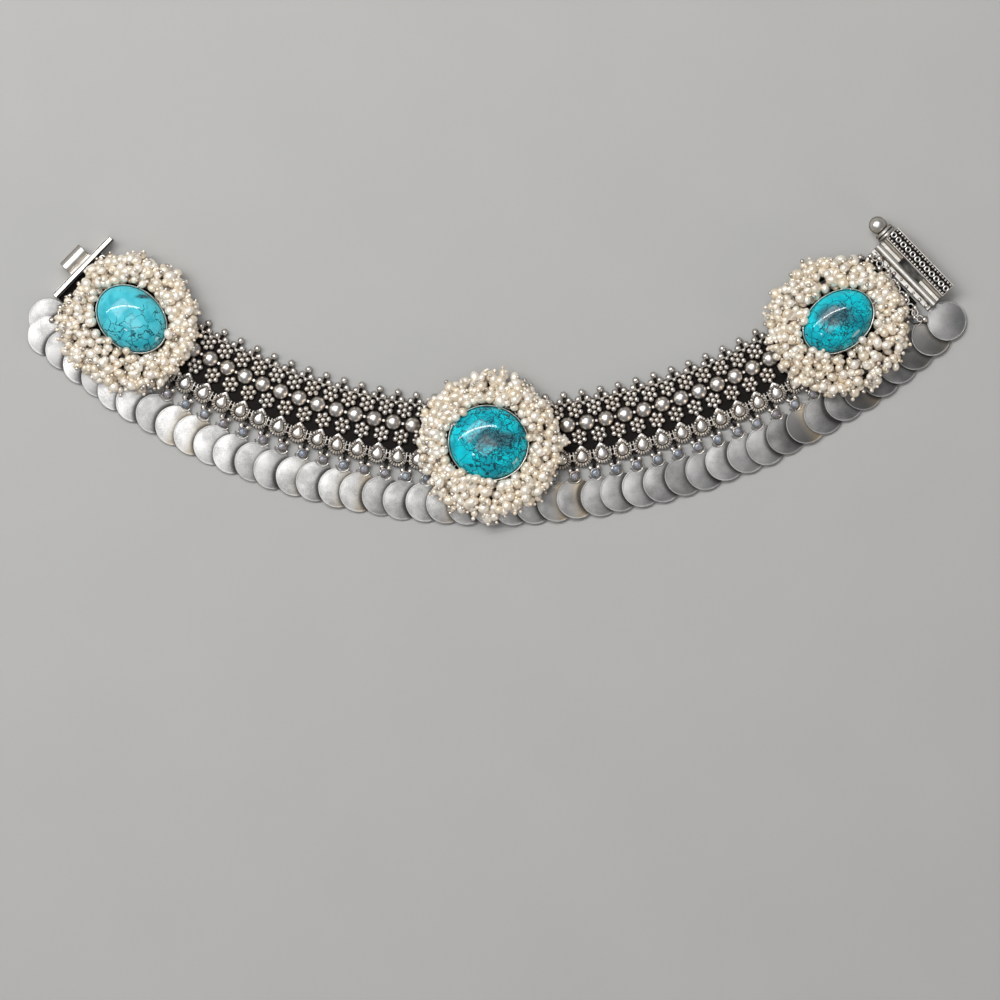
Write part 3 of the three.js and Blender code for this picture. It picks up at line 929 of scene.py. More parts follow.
@dataclass(frozen=True)
class DiscFinish:
    """Burnished silver of the fringe, each disc brushed its own way.

    A disc has a painted bright rim highlight and dull clouds, painted shade
    towards its right side, and a painted warm reflection there if its tone is
    high. The discs get darker along the band.

    Attributes:
        name: The material's name.
        bright: Colour of the burnished metal and of the painted rim highlight.
        dull: Colour of the clouds.
        dark: Colour that the discs get to at the right end.
        shade: Colour of the painted shade on their right sides, and of the older ones.
        warm: Colour of the warm reflections.
        groove_and_shadow: Colour of the painted shadow on the part that lies beside
        the next disc.
        roughness: Of the metal.
        fade: x in metres from which the discs darken, and where they are darkest.
        sway: How much the darkening differs with the tone, and its least.
    """

    name: str = "burnished_disc_silver"
    bright: Colour = (0.86, 0.845, 0.82, 1.0)
    dull: Colour = (0.33, 0.325, 0.32, 1.0)
    dark: Colour = (0.135, 0.13, 0.125, 1.0)
    shade: Colour = (0.24, 0.235, 0.23, 1.0)
    warm: Colour = (0.85, 0.66, 0.40, 1.0)
    groove_and_shadow: Colour = (0.05, 0.045, 0.04, 1.0)
    roughness: float = 0.28
    fade: tuple[float, float] = (-0.12, 0.10)
    sway: tuple[float, float] = (0.8, 0.55)

    def build(self) -> bpy.types.Material:
        """Makes the material."""
        material, wiring, shader = new_material(self.name)
        tone = wiring.attribute("tone")
        local = wiring.attribute("local", "Vector")
        angle = wiring.times(tone, 1.6)
        spin = wiring.add(
            "VectorRotate", {"Vector": local, "Angle": angle}, rotation_type="Z_AXIS"
        ).outputs[0]
        layer = wiring.add("CombineXYZ", {2: wiring.times(tone, 90.0)}).outputs[0]
        shifted = wiring.add(
            "VectorMath", {0: spin, 1: layer}, operation="ADD"
        ).outputs[0]
        brushed = wiring.add(
            "Mapping", {"Vector": shifted, "Scale": (0.8, 9.0, 1.0)}
        ).outputs[0]
        streaks = wiring.noise(brushed, 1.6, 6.0)
        clouds = wiring.noise(shifted, 0.17, 3.0)
        grain = wiring.noise(shifted, 6.0, 4.0)
        mixed = wiring.math("ADD", clouds, wiring.swing(streaks, 0.5))
        mixed = wiring.math("ADD", mixed, wiring.swing(grain, 0.9))
        dull = wiring.times(wiring.ramp(mixed, 0.36, 0.72), 0.78)
        colour = wiring.blend(dull, self.bright, self.dull)
        along = wiring.add("SeparateXYZ", {"Vector": wiring.place()}).outputs[0]
        sway = wiring.math("MULTIPLY_ADD", tone, *self.sway)
        # The discs get darker towards the band's right end.
        fade_share = wiring.times(wiring.ramp(along, *self.fade), sway)
        fade_share = wiring.math("ADD", fade_share, wiring.swing(clouds, 0.7))
        colour = wiring.blend(wiring.times(fade_share, 0.88), colour, self.dark)
        across = wiring.add("SeparateXYZ", {"Vector": local}).outputs[0]
        # Painted shade: each disc darker towards its right side.
        shade = wiring.times(wiring.ramp(across, -4.5, 5.5), 0.5)
        colour = wiring.blend(shade, colour, self.shade)
        older = wiring.times(wiring.ramp(tone, 0.5, 0.05), 0.4)
        colour = wiring.blend(older, colour, self.shade)
        # Painted warm reflection on the right side of discs whose tone is high.
        warm = wiring.times(
            wiring.ramp(tone, 0.66, 0.95), wiring.ramp(across, -2.5, 4.5)
        )
        colour = wiring.blend(wiring.times(warm, 0.7), colour, self.warm)
        away = wiring.add("VectorMath", {0: local}, operation="LENGTH").outputs["Value"]
        # Painted highlight: a bright ring round each disc's edge.
        rim = wiring.times(wiring.ramp(away, 5.3, 5.55), 0.4)
        colour = wiring.blend(rim, colour, self.bright)
        height = wiring.math("ADD", streaks, wiring.times(grain, 0.6))
        rough = wiring.math("ADD", wiring.times(streaks, 0.25), self.roughness)
        # The piece's attribute here is the painted shadow of the next disc.
        finish = {
            "Base Color": wiring.blend(wiring.attribute("wear_shade_and_cloud"), colour, self.groove_and_shadow),
            "Roughness": rough,
            "Metallic": 1.0,
            "Normal": wiring.bump(height, 0.35, 0.00006),
        }
        wiring.feed(shader, finish)
        return material


@dataclass(frozen=True)
class TurquoiseFinish:
    """Turquoise with a dark web of matrix and an earthy cloud, polished.

    The piece's wear places the cloud and its tone says how dense the web is. The
    web is the edges between the cells of two Voronoi patterns, bent by noise.

    Attributes:
        name: The material's name.
        deep: Colour between the pale clouds.
        pale: Colour of the clouds.
        earth: Colour of the earthy cloud.
        web: Colour of the web.
        bend: How far noise bends the web, in metres.
        nets: Scale and line width of each net, and the density it shows from.
    """

    name: str = "webbed_turquoise"
    deep: Colour = (0.0, 0.33, 0.42, 1.0)
    pale: Colour = (0.0, 0.66, 0.77, 1.0)
    earth: Colour = (0.045, 0.115, 0.14, 1.0)
    web: Colour = (0.004, 0.016, 0.03, 1.0)
    bend: float = 0.0052
    nets: tuple = ((300.0, 0.055, 0.12), (680.0, 0.085, 0.5))

    def build(self) -> bpy.types.Material:
        """Makes the material."""
        material, wiring, shader = new_material(self.name)
        place, wear_shade_and_cloud = wiring.place(), wiring.attribute("wear_shade_and_cloud")
        push = wiring.add(
            "VectorMath",
            {0: wiring.noise(place, 300.0, 5.0, output=1), 1: (self.bend,) * 3},
            operation="MULTIPLY",
        ).outputs[0]
        bent = wiring.add("VectorMath", {0: place, 1: push}, operation="ADD").outputs[0]
        clouds = wiring.noise(place, 190.0, 6.0)
        dense = wiring.attribute("tone")
        dense = wiring.math("ADD", dense, wiring.swing(clouds, 1.6))
        dense = wiring.math("ADD", dense, wiring.times(wear_shade_and_cloud, 0.55))
        lines = []
        for scale, width, low in self.nets:
            edge = wiring.add(
                "TexVoronoi",
                {"Vector": bent, "Scale": scale},
                feature="DISTANCE_TO_EDGE",
            ).outputs[0]
            line = wiring.ramp(edge, width, width * 0.2)
            lines.append(wiring.times(line, wiring.ramp(dense, low, low + 0.3)))
        web = wiring.times(wiring.math("MAXIMUM", *lines), 0.88)
        body = wiring.blend(wiring.ramp(clouds, 0.32, 0.62), self.deep, self.pale)
        grains = wiring.noise(bent, 650.0, 6.0)
        earthy = wiring.math("ADD", wear_shade_and_cloud, wiring.swing(grains, 0.7))
        earthy = wiring.times(wiring.ramp(earthy, 0.1, 1.1), 0.95)
        body = wiring.blend(earthy, body, self.earth)
        finish = {
            "Base Color": wiring.blend(web, body, self.web),
            "Roughness": 0.5,
            "Specular IOR Level": 0.1,
            "Coat Weight": 0.9,
            "Coat Roughness": 0.085,
        }
        wiring.feed(shader, finish)
        return material


@dataclass(frozen=True)
class PearlFinish:
    """Cream nacre that differs from pearl to pearl, with painted shade at its edges.

    It is also painted darker on its underside.
    """

    name: str = "seed_pearl_nacre"
    cream: Colour = (0.90, 0.77, 0.58, 1.0)
    white: Colour = (0.98, 0.91, 0.79, 1.0)
    rose: Colour = (0.95, 0.81, 0.71, 1.0)
    # rim is painted shade where a pearl turns away; under is painted shade on its
    # underside.
    rim: Colour = (0.46, 0.36, 0.25, 1.0)
    under: Colour = (0.40, 0.31, 0.21, 1.0)

    def build(self) -> bpy.types.Material:
        """Makes the material."""
        material, wiring, shader = new_material(self.name)
        tone = wiring.attribute("tone")
        clouds = wiring.noise(wiring.place(), 420.0, 3.0)
        colour = wiring.blend(wiring.ramp(tone, 0.1, 0.8), self.cream, self.white)
        rosy = wiring.times(wiring.ramp(clouds, 0.45, 0.7), 0.35)
        colour = wiring.blend(rosy, colour, self.rose)
        facing = wiring.add("LayerWeight", {"Blend": 0.35}).outputs["Facing"]
        painted_edge_shade = wiring.times(wiring.ramp(facing, 0.1, 0.9), 0.7)
        colour = wiring.blend(painted_edge_shade, colour, self.rim)
        # Painted shade on each pearl's underside, from the piece's attribute.
        finish = {
            "Base Color": wiring.blend(wiring.attribute("wear_shade_and_cloud"), colour, self.under),
            "Roughness": 0.28,
            "Metallic": 0.26,
            "Specular IOR Level": 0.9,
            "Coat Weight": 0.7,
            "Coat IOR": 1.7,
            "Coat Roughness": 0.07,
            "Normal": wiring.bump(clouds, 0.12, 0.0002),
        }
        wiring.feed(shader, finish)
        return material


@dataclass(frozen=True)
class StudStoneFinish:
    """Small smoky stones of the studs, bluish to rosy grey, glassy."""

    name: str = "smoky_stud_stone"
    blue: Colour = (0.17, 0.20, 0.25, 1.0)
    rose: Colour = (0.24, 0.20, 0.21, 1.0)
    haze: Colour = (0.38, 0.41, 0.46, 1.0)

    def build(self) -> bpy.types.Material:
        """Makes the material."""
        material, wiring, shader = new_material(self.name)
        tone = wiring.attribute("tone")
        clouds = wiring.noise(wiring.place(), 700.0, 3.0)
        colour = wiring.blend(wiring.ramp(tone, 0.45, 0.95), self.blue, self.rose)
        colour = wiring.blend(wiring.ramp(clouds, 0.4, 0.72), colour, self.haze)
        finish = {"Base Color": colour, "Roughness": 0.1, "Coat Weight": 1.0}
        wiring.feed(shader, finish)
        return material


@dataclass(frozen=True)
class Finishes:
    """All the finishes, built once."""

    granule: bpy.types.Material
    disc: bpy.types.Material
    clasp: bpy.types.Material
    turquoise: bpy.types.Material
    pale_turquoise: bpy.types.Material
    pearl: bpy.types.Material
    stud_stone: bpy.types.Material

    @classmethod
    def build(cls) -> "Finishes":
        """Builds the shared tarnish and every finish."""
        tarnish = tarnish_group()
        granule = SilverFinish(
            name="oxidised_granule_silver",
            bright=(0.93, 0.90, 0.86, 1.0),
            warm=(0.85, 0.76, 0.66, 1.0),
            dark=(0.012, 0.010, 0.009, 1.0),
            roughness=0.27,
        )
        clasp = SilverFinish(
            name="polished_clasp_silver",
            bright=(0.92, 0.90, 0.86, 1.0),
            warm=(0.82, 0.74, 0.62, 1.0),
            dark=(0.03, 0.026, 0.024, 1.0),
            roughness=0.3,
            spread=0.18,
            blotch_scale=420.0,
        )
        pale = TurquoiseFinish(
            name="pale_webbed_turquoise",
            deep=(0.02, 0.40, 0.50, 1.0),
            pale=(0.09, 0.62, 0.72, 1.0),
        )
        return cls(
            granule=granule.build(tarnish),
            disc=DiscFinish().build(),
            clasp=clasp.build(tarnish),
            turquoise=TurquoiseFinish().build(),
            pale_turquoise=pale.build(),
            pearl=PearlFinish().build(),
            stud_stone=StudStoneFinish().build(),
        )


# Rows of links


@dataclass(frozen=True)
class FlowerRow:
    """A row of flowers, each six granules round one on a dark scalloped plate.

    Attributes:
        name: The row's name.
        node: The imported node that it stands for.
        offset: Distance outwards from the row of domes.
        plate_radius: Radius of the plate between its scallops' tips and notches.
        scallop: Height of a scallop.
        plate_top: Height of the plate's top.
        granule: Radius of a granule.
        ring_radius: From the middle granule to the six.
        centre_lift: How much higher the middle one sits.
        sway: Spread of the flowers' small turns, in radians.
    """

    name: str
    node: str
    offset: float
    plate_radius: float = 2.45
    scallop: float = 0.12
    plate_top: float = 0.95
    granule: float = 0.8
    ring_radius: float = 1.62
    centre_lift: float = 0.1
    sway: float = 0.12

    def plate(self) -> Shell:
        """The plate: r = R - scallop cos 6 t, dark but for its edge."""
        turn = np.arange(48) * TURN / 48
        edge = self.plate_radius - self.scallop * np.cos(6 * turn)
        top = self.plate_top
        heights = [0.15, 0.25, top - 0.2, top, top - 0.12]
        scales = [0.9, 1.0, 1.0, 0.93, 0.84]
        plate = stack(oval(turn, edge, edge), scales, heights, (0.15, top - 0.12))
        away = np.linalg.norm(plate.points[:, :2], axis=1) / self.plate_radius
        return plate.darkened(np.where(away > 0.97, 0.7, 1.0))

    def flower(self) -> Shell:
        """One flower: balls on a ring at r, 60 degrees apart, and one inside."""
        grain = ball(self.granule, 10, 6).darkened_below(0.25, -0.3)
        turn, radius = np.arange(6) * TURN / 6 + TURN / 12, self.ring_radius
        spots = np.insert(oval(turn, radius, radius), 2, 0.0, axis=1)
        spots = np.concatenate([spots, [(0.0, 0.0, self.centre_lift)]])
        seat = self.plate_top + self.granule * 0.45
        return merged([self.plate(), grain.at(spots).moved(z=seat)])

    def build(self, band: Band, finishes: Finishes) -> None:
        """Makes the row with a flower at each half step."""
        angles = band.clear(band.column_angles(half=True), self.offset)
        rng = np.random.default_rng(3)
        turns = turn_about(2, rng.normal(0, self.sway, len(angles)))
        flowers = self.flower().spread(band.seats(angles, self.offset, turns=turns))
        row = merged([flowers, band.rail(self.offset, 3.9, (0.1, 0.6))])
        make(self.name, row, finishes.granule, (self.node,))


@dataclass(frozen=True)
class TrefoilRow:
    """Trefoils of three granules standing on the band's inner edge.

    Attributes:
        offset: Distance outwards from the row of domes, so inwards here.
        granule: Radius of a granule.
        spread: Half the distance between the two lower ones.
        rise: How far the third stands past them.
        lift: Height of the granules' middles.
        thread_offset: Where the thin wire runs that joins the trefoils.
        thread_radius: Radius of that wire.
    """

    offset: float = -6.75
    granule: float = 0.95
    spread: float = 1.3
    rise: float = 1.85
    lift: float = 1.2
    thread_offset: float = -6.0
    thread_radius: float = 0.22

    def trefoil(self) -> Shell:
        """Two balls side by side, one past them, and a stem to the row."""
        grain = ball(self.granule, 16, 10).darkened_below(0.3, -0.35)
        spots = [(-self.spread, 0.0), (self.spread, 0.0), (0.0, self.rise)]
        stem = block((-0.45, 0.45), (-2.6, 0.9), (0.35, 1.15)).darkened(0.8)
        yoke = block((-1.5, 1.5), (-0.35, 0.25), (0.3, 0.9)).darkened(0.7)
        collar = ball(0.62, 10, 6).darkened_below(0.2, -0.3).moved(0.0, -1.15, 1.05)
        return merged([grain.at(spots).moved(z=self.lift), stem, yoke, collar])

    def build(self, band: Band, finishes: Finishes) -> None:
        """Makes a trefoil at each column."""
        angles = band.clear(band.column_angles(half=False), self.offset)
        trefoils = self.trefoil().spread(band.seats(angles, self.offset))
        thread = band.thread(self.thread_offset, 0.95, self.thread_radius).darkened(0.3)
        shell = merged([trefoils, thread])
        make("trefoils", shell, finishes.granule)


@dataclass(frozen=True)
class DomeRow:
    """A row of polished domes, each on a plate with a thin rim and a tab.

    Attributes:
        plate_radius: Radius of the plate.
        plate_top: Height of its top, and of the dome's shoulder.
        radius: Radius of the dome.
        top: Height of the dome's top.
    """

    plate_radius: float = 2.6
    plate_top: float = 0.7
    radius: float = 2.34
    top: float = 2.9

    def dome(self) -> Shell:
        """A dome, darker at its foot, in its plate."""
        shoulder, wide = self.plate_top, self.plate_radius
        shell = dome(self.radius, (0.3, shoulder, self.top), 8, 32)
        shell = shell.darkened_below(shoulder + 0.9, shoulder + 0.1, 0.75)
        profile = [(0, 0), (wide - 0.1, 0), (wide, 0.1), (wide, shoulder)]
        profile += [(wide - 0.14, shoulder + 0.1), (wide - 0.3, shoulder)]
        profile += [(wide - 0.34, shoulder - 0.2), (0, shoulder - 0.2)]
        plate = turned(profile, 32).darkened(0.8)
        tab = block((2.35, 3.15), (-0.42, 0.42), (0.4, 1.1)).darkened(0.3)
        return merged([shell, plate, tab])

    def build(self, band: Band, finishes: Finishes) -> None:
        """Makes the row with a dome at each column."""
        angles = band.clear(band.column_angles(half=False), 0.0)
        domes = self.dome().spread(band.seats(angles, 0.0))
        row = merged([domes, band.rail(0.0, 4.2, (0.05, 0.5))])
        make("domes", row, finishes.granule, ("dome_row",))


@dataclass(frozen=True)
class TeardropRow:
    """Ridged teardrops, the wire loops between them, and the stone studs below.

    Attributes:
        offset: Distance outwards from the row of domes.
        half_width: Half of a teardrop's width.
        half_length: Half of its length.
        centre_shift: How far it sits towards the arc's centre.
        taper: How pointed it is.
        ridges: Ridges round it.
        sway: Spread of the teardrops' small turns, in radians.
        loop_radius: Radius of the wire over their shoulders.
        stud_drop: From the row of teardrops to the studs.
        stud_radius: Radius of a stud's cup.
        stone_radius: Radius of the cup's bore.
        stone_gap: Room between the stone and the bore.
        carrier_radius: Radius of the ring that a disc hangs from.
    """

    offset: float = 9.8
    half_width: float = 3.25
    half_length: float = 3.2
    centre_shift: float = 0.45
    taper: float = 0.7
    ridges: int = 22
    sway: float = 0.07
    loop_radius: float = 0.26
    stud_drop: float = 4.9
    stud_radius: float = 1.45
    stone_radius: float = 1.08
    stone_gap: float = 0.04
    carrier_radius: float = 2.0

    def outline(self, turn: Array) -> Array:
        """Pear curve: x = -A sin t sin(t/2)^m, y = B cos t, its point at t = 0."""
        x = -self.half_width * np.sin(turn) * np.sin(turn / 2) ** self.taper
        return np.stack([x, self.half_length * np.cos(turn)], axis=1)

    def teardrop(self) -> Shell:
        """The boss: a raised drop in a groove, with ridges round it.

        Over the rim the height swings with cos(ridges t), fading at the point.
        """
        per_ridge = 4
        columns = self.ridges * per_ridge
        turn = np.arange(columns) * TURN / columns
        away = np.minimum(turn, TURN - turn)
        fade = smooth((away - 0.55) / 0.35)
        swing = np.sqrt(0.5 + 0.5 * np.cos(self.ridges * turn))
        # Scale, height, height of the ridges and darkness, from the bottom up.
        levels = np.array(
            [
                (0.98, 0.15, 0.0, 0.9),
                (1.00, 0.90, 0.1, 0.5),
                (0.98, 1.10, 0.32, 0.0),
                (0.91, 1.20, 0.42, 0.0),
                (0.80, 1.26, 0.42, 0.0),
                (0.68, 1.28, 0.32, 0.0),
                (0.63, 1.20, 0.1, 0.6),
                (0.58, 1.15, 0.0, 0.9),
                (0.55, 1.50, 0.0, 0.15),
                (0.48, 1.78, 0.0, 0.0),
                (0.32, 1.95, 0.0, 0.0),
                (0.12, 2.02, 0.0, 0.0),
            ]
        )
        scale, height, ridge, dark = levels.T
        lift = ridge[:, None] * (swing * fade + (1 - fade) * 0.55)[None]
        shell = stack(self.outline(turn), scale, height[:, None] + lift, (0.15, 2.04))
        groove_and_shadow = np.where(ridge > 0.3, 1.0, 0.0)[:, None]
        gap = (smooth((0.7 - swing) / 0.6) * fade)[None]
        wear_shade_and_cloud = np.maximum(groove_and_shadow * gap, dark[:, None]).ravel()
        return shell.darkened(np.append(wear_shade_and_cloud, [1.0, 0.0])).moved(y=self.centre_shift)

    def loops(self) -> Shell:
        """Wires between two teardrops: a bow over their shoulders and a box link."""
        share = np.linspace(-1, 1, 11)
        rise = np.full(11, 0.95)
        bow = np.stack([1.7 * share, 1.75 + 0.9 * share**2, rise], axis=1)
        rung = block((-0.75, 0.75), (-0.22, 0.22), (0.6, 1.3))
        post = block((-0.18, 0.18), (-0.6, 1.9), (0.6, 1.4))
        rungs = rung.at([(0.0, -0.55), (0.0, 0.95)])
        posts = post.at([(-0.5, 0.0), (0.5, 0.0)])
        links = merged([wire(bow, self.loop_radius, UP), rungs, posts])
        return links.darkened_below(1.6, 1.0, 0.95)

    def stud(self) -> Shell:
        """A round cup with two balls over it and a ring that carries a disc."""
        wide, inner = self.stud_radius, self.stone_radius
        profile = [(0, 1.35), (wide - 0.05, 1.35), (wide, 1.5), (wide - 0.05, 2.1)]
        profile += [(wide - 0.15, 2.35), (inner + 0.08, 2.42), (inner, 2.3)]
        profile += [(inner, 1.9), (0, 1.9)]
        cup = turned(profile, 24).darkened_below(2.3, 1.9, 0.7)
        ear = ball(0.74, 12, 7).darkened_below(0.3, -0.4)
        ears = ear.at([(-1.05, 1.55, 1.6), (1.05, 1.55, 1.6)])
        neck = block((-0.5, 0.5), (1.0, 3.3), (0.6, 1.3)).darkened(0.75)
        path = arc_path(self.carrier_radius, -165, -15, 15)
        path[:, 2] = 1.75 + 0.5 * path[:, 1] / self.carrier_radius
        carrier = wire(path, 0.22, UP).darkened_below(1.6, 1.1, 0.6).moved(y=-0.05)
        return merged([cup, neck, carrier, ears])

    def build(self, band: Band, finishes: Finishes) -> None:
        """Makes the teardrops at the half steps and the studs at the columns."""
        drops = band.clear(band.column_angles(half=True), self.offset)
        joints = band.clear(band.column_angles(half=False), self.offset)
        studs_offset = self.offset + self.stud_drop
        studs = band.clear(band.column_angles(half=False), studs_offset)
        seats = band.seats(studs, studs_offset)
        rng = np.random.default_rng(11)
        sway = turn_about(2, rng.normal(0, self.sway, len(drops)))
        row = self.teardrop().spread(band.seats(drops, self.offset, turns=sway))
        rail = band.rail(self.offset - 1.0, 6.0, (0.12, 0.55))
        links = merged([self.loops().spread(band.seats(joints, self.offset)), rail])
        stone = dome(self.stone_radius - self.stone_gap, (1.95, 2.1, 2.72), 6, 20)
        silver, slot = finishes.granule, Slot.DARK_SILVER
        make("teardrops", row, silver, ("teardrop_row",), sharp=60.0)
        make("teardrop_links", links, silver)
        make("studs", self.stud().spread(seats), silver)
        make("stud_stones", stone.spread(seats), finishes.stud_stone)


@dataclass(frozen=True)
class DiscFringe:
    """Thin dished discs that lie on each other, each on its left neighbour.

    Attributes:
        offset: Distance outwards from the row of domes.
        radius: Radius of a disc.
        thickness: Of its metal.
        crown: How far its middle stands over its rim.
        gap: Air between two discs where they overlap.
        shadow: From a disc's middle to that of the next, which darkens it.
        extra: Discs past the last column.
        end_disc: x and y from the first disc to the one that lies under it.
        drift: Furthest that a disc lies off its place, either way along the band.
        sag: The same outwards and inwards.
    """

    offset: float = 21.45
    radius: float = 5.72
    thickness: float = 0.42
    crown: float = 0.4
    gap: float = 0.3
    shadow: float = 6.2
    extra: int = 1
    end_disc: Pair = (-3.5, 3.7)
    drift: float = 0.4
    sag: Pair = (-0.2, 0.3)

    def disc(self) -> Shell:
        """Top: h = t/2 + crown (1 - r squared), with a raised bead at the rim."""
        share = np.array([1.0, 0.985, 0.955, 0.92, 0.88, 0.7, 0.5, 0.3, 0.12, 0.0])
        bead = np.zeros(len(share))
        bead[:3] = (-0.05, 0.05, 0.04)
        top = self.thickness / 2 + self.crown * (1 - share**2) + bead
        under = -self.thickness / 2 + self.crown * (1 - share[::-1] ** 2) * 0.8
        radii = np.concatenate([share[::-1] * 0.99, share]) * self.radius
        profile = np.stack([radii, np.concatenate([under, top])], axis=1)
        shell = turned(profile, 56)
        # Painted shadow: darker beside the place where the next disc lies on this one.
        x, y, _ = shell.local.T
        beside = np.hypot(x - self.shadow, y) - self.radius
        return shell.darkened(0.9 * smooth((1.2 - beside) / 1.2))

    def build(self, band: Band, finishes: Finishes) -> None:
        """Makes the fringe, each disc tipped up to the left by what it lies on.

        One more disc lies under the first at the left end, closer to the bar. The
        last disc has none on it, so it gets no painted shadow.
        """
        angles = band.column_angles(half=False, extra=self.extra)
        angles = np.concatenate([angles[:1], angles])
        pitch = band.pitch * (1 + self.offset / band.radius)
        tilt = math.asin((self.thickness + self.gap) / pitch)
        rng = np.random.default_rng(23)
        count = len(angles)
        roll = turn_about(1, tilt + rng.normal(0, 0.008, count))
        tip = turn_about(0, rng.normal(0.0, 0.025, count))
        lift = self.radius * math.sin(tilt) + self.thickness / 2 + 0.18
        place = np.full((count, 3), lift)
        place[:, 0] = rng.uniform(-self.drift, self.drift, count)
        place[-3:, 0] = 0.0
        place[:, 1] = rng.uniform(*self.sag, count)
        place[0] = (*self.end_disc, lift - 0.03)
        row = self.disc().spread(band.seats(angles, self.offset, place, roll @ tip))
        wear_shade_and_cloud = row.wear_shade_and_cloud.reshape(count, -1).copy()
        # No painted shadow on the last disc, which has none lying on it.
        wear_shade_and_cloud[-1] = 0.0
        row = row.darkened(wear_shade_and_cloud.ravel())
        make("fringe_discs", row, finishes.disc, ("disc_fringe",))


# Medallions


@dataclass(frozen=True)
class MedallionMaker:
    """Builds a medallion: bezel, stone, and pearls pinned round it.

    Attributes:
        bezel_base: Height of the bezel's foot.
        bezel_height: From there to its rim.
        bezel_floor: Height of the floor inside it.
        stone_seat: Height of the stone's flat bottom.
        girdle: Height of the stone's straight side.
        stone_top: Height of its top.
        pearl_base: Height that the layers of pearls are given from.
        pearl_top: Height that no pearl of the layers passes.
        edge_room: From the stone's edge to the first ring of pearls.
        carrier_shares: Share of the way to the reach of each carrying ring.
        layers: Share of the way from the stone to the reach, height and spacing
            of each ring of pearls.
    """

    bezel_base: float = 2.1
    bezel_height: float = 5.2
    bezel_floor: float = 4.9
    stone_seat: float = 5.1
    girdle: float = 1.3
    stone_top: float = 11.2
    pearl_base: float = 3.25
    pearl_top: float = 8.9
    edge_room: float = 1.75
    carrier_shares: tuple[float, ...] = (0.0, 0.25, 0.5, 0.75)
    layers: tuple[tuple[float, float, float], ...] = (
        (0.00, 1.40, 2.6),
        (0.36, 1.35, 2.7),
        (0.70, 1.30, 2.6),
        (1.00, 1.25, 2.8),
        (0.20, 2.60, 3.0),
        (0.56, 2.50, 3.0),
        (0.90, 2.20, 3.2),
        (0.04, 3.60, 2.5),
        (0.28, 3.90, 3.0),
        (0.54, 3.70, 2.6),
        (0.82, 3.30, 2.7),
    )

    def bezel(self, medallion: Medallion) -> Shell:
        """The cup, its radii given as 10 plus the growth over the stone."""
        low, high = self.bezel_base, self.bezel_base + self.bezel_height
        floor = self.bezel_floor
        profile = [(0, low), (10.6, low), (10.7, low + 0.1), (10.7, low + 0.7)]
        profile += [(10.52, low + 0.8), (10.52, high - 0.4), (10.42, high - 0.08)]
        profile += [(10.28, high), (10.12, high - 0.08), (10.06, floor), (0, floor)]
        shell = turned(profile, 120).widened(medallion.half)
        return shell.darkened_below(high - 0.3, high - 1.6, 0.9)

    def stone(self, medallion: Medallion) -> Shell:
        """Cabochon: h = rise (1 - r to the power 2.3) to the power 0.55.

        Its wear is the earthy cloud, an oval that fades out, and its tone the
        density of the web, which changes evenly across it.
        """
        shoulder = self.stone_seat + self.girdle
        rise = self.stone_top - shoulder
        share = np.sin(np.linspace(0.25, 0.0, 22) * TURN)
        height = shoulder + rise * (1 - share**2.3) ** 0.55
        foot = [(0.0, self.stone_seat), (1.0, self.stone_seat)]
        shell = turned(np.concatenate([foot, np.stack([share, height], axis=1)]), 96)
        shell = replace(shell, points=shell.points * [*medallion.half, 1.0])
        turn = turn_about(2, medallion.angle + math.radians(medallion.stone_turn))[0]
        across, up = (shell.points @ turn.T)[:, :2].T / 10.5
        x, y, long_half, short_half = medallion.cloud
        away = np.hypot((across - x) / long_half, (up - y) / short_half)
        to_x, to_y, density = medallion.web
        dense = np.clip(density + to_x * across + to_y * up, 0.0, 1.0)
        return replace(shell, wear_shade_and_cloud=1.0 - smooth((away - 0.3) / 1.1), tone=dense)

    def pearl_spots(self, medallion: Medallion) -> tuple[Array, Array]:
        """Places and radii of the pearls, in staggered rings round the bezel.

        A ring's points are (a + g) cos t and (b + g) sin t, with a and b the
        stone's half-axes and g the ring's distance from the stone, blended to a
        circle at the reach. Each is then jittered. A few more lean over the bezel.

        Args:
            medallion: The medallion.

        Returns:
            Points in the medallion's own frame, and radii.
        """
        rng = np.random.default_rng(medallion.seed)
        half, reach = medallion.half + self.edge_room, medallion.reach - 1.5
        lean = np.array(medallion.stone_shift) - np.array(medallion.pearl_shift)
        points, radii = [], []
        for share, height, spacing in self.layers:
            axes = half * (1 - share) + reach * share
            count = int(TURN * axes.mean() / spacing)
            turn = (np.arange(count) + rng.random()) * TURN / count
            turn += rng.normal(0, 0.2, count) * spacing / axes.mean()
            away = rng.normal(0.1, 0.35 + 0.25 * share, count)
            away = np.maximum(away, -0.15 - 0.6 * share)
            flat = oval(turn, axes[0] + away, axes[1] + away) + lean * (1 - share)
            rise = self.pearl_base + height + rng.uniform(-0.25, 0.45, count)
            points.append(np.column_stack([flat, rise]))
            radii.append(1.02 + 0.78 * rng.beta(1.4, 1.6, count))
        spots, sizes = np.concatenate(points), np.concatenate(radii)
        spots[:, 2] = np.minimum(spots[:, 2], self.pearl_top - sizes)
        turn = np.radians(medallion.leaning) - medallion.angle
        count = len(turn)
        over = medallion.half + 0.75 + rng.uniform(-0.3, 0.3, (count, 1))
        flat = over * oval(turn, 1.0, 1.0) + lean
        leaning = np.column_stack([flat, rng.uniform(8.1, 8.5, count)])
        spots = np.concatenate([spots, leaning])
        sizes = np.concatenate([sizes, rng.uniform(1.15, 1.5, count)])
        beside = (spots[:, 0] + medallion.pearl_shift[0]) * medallion.wall_side
        keep = beside + sizes < medallion.wall
        return spots[keep], sizes[keep]

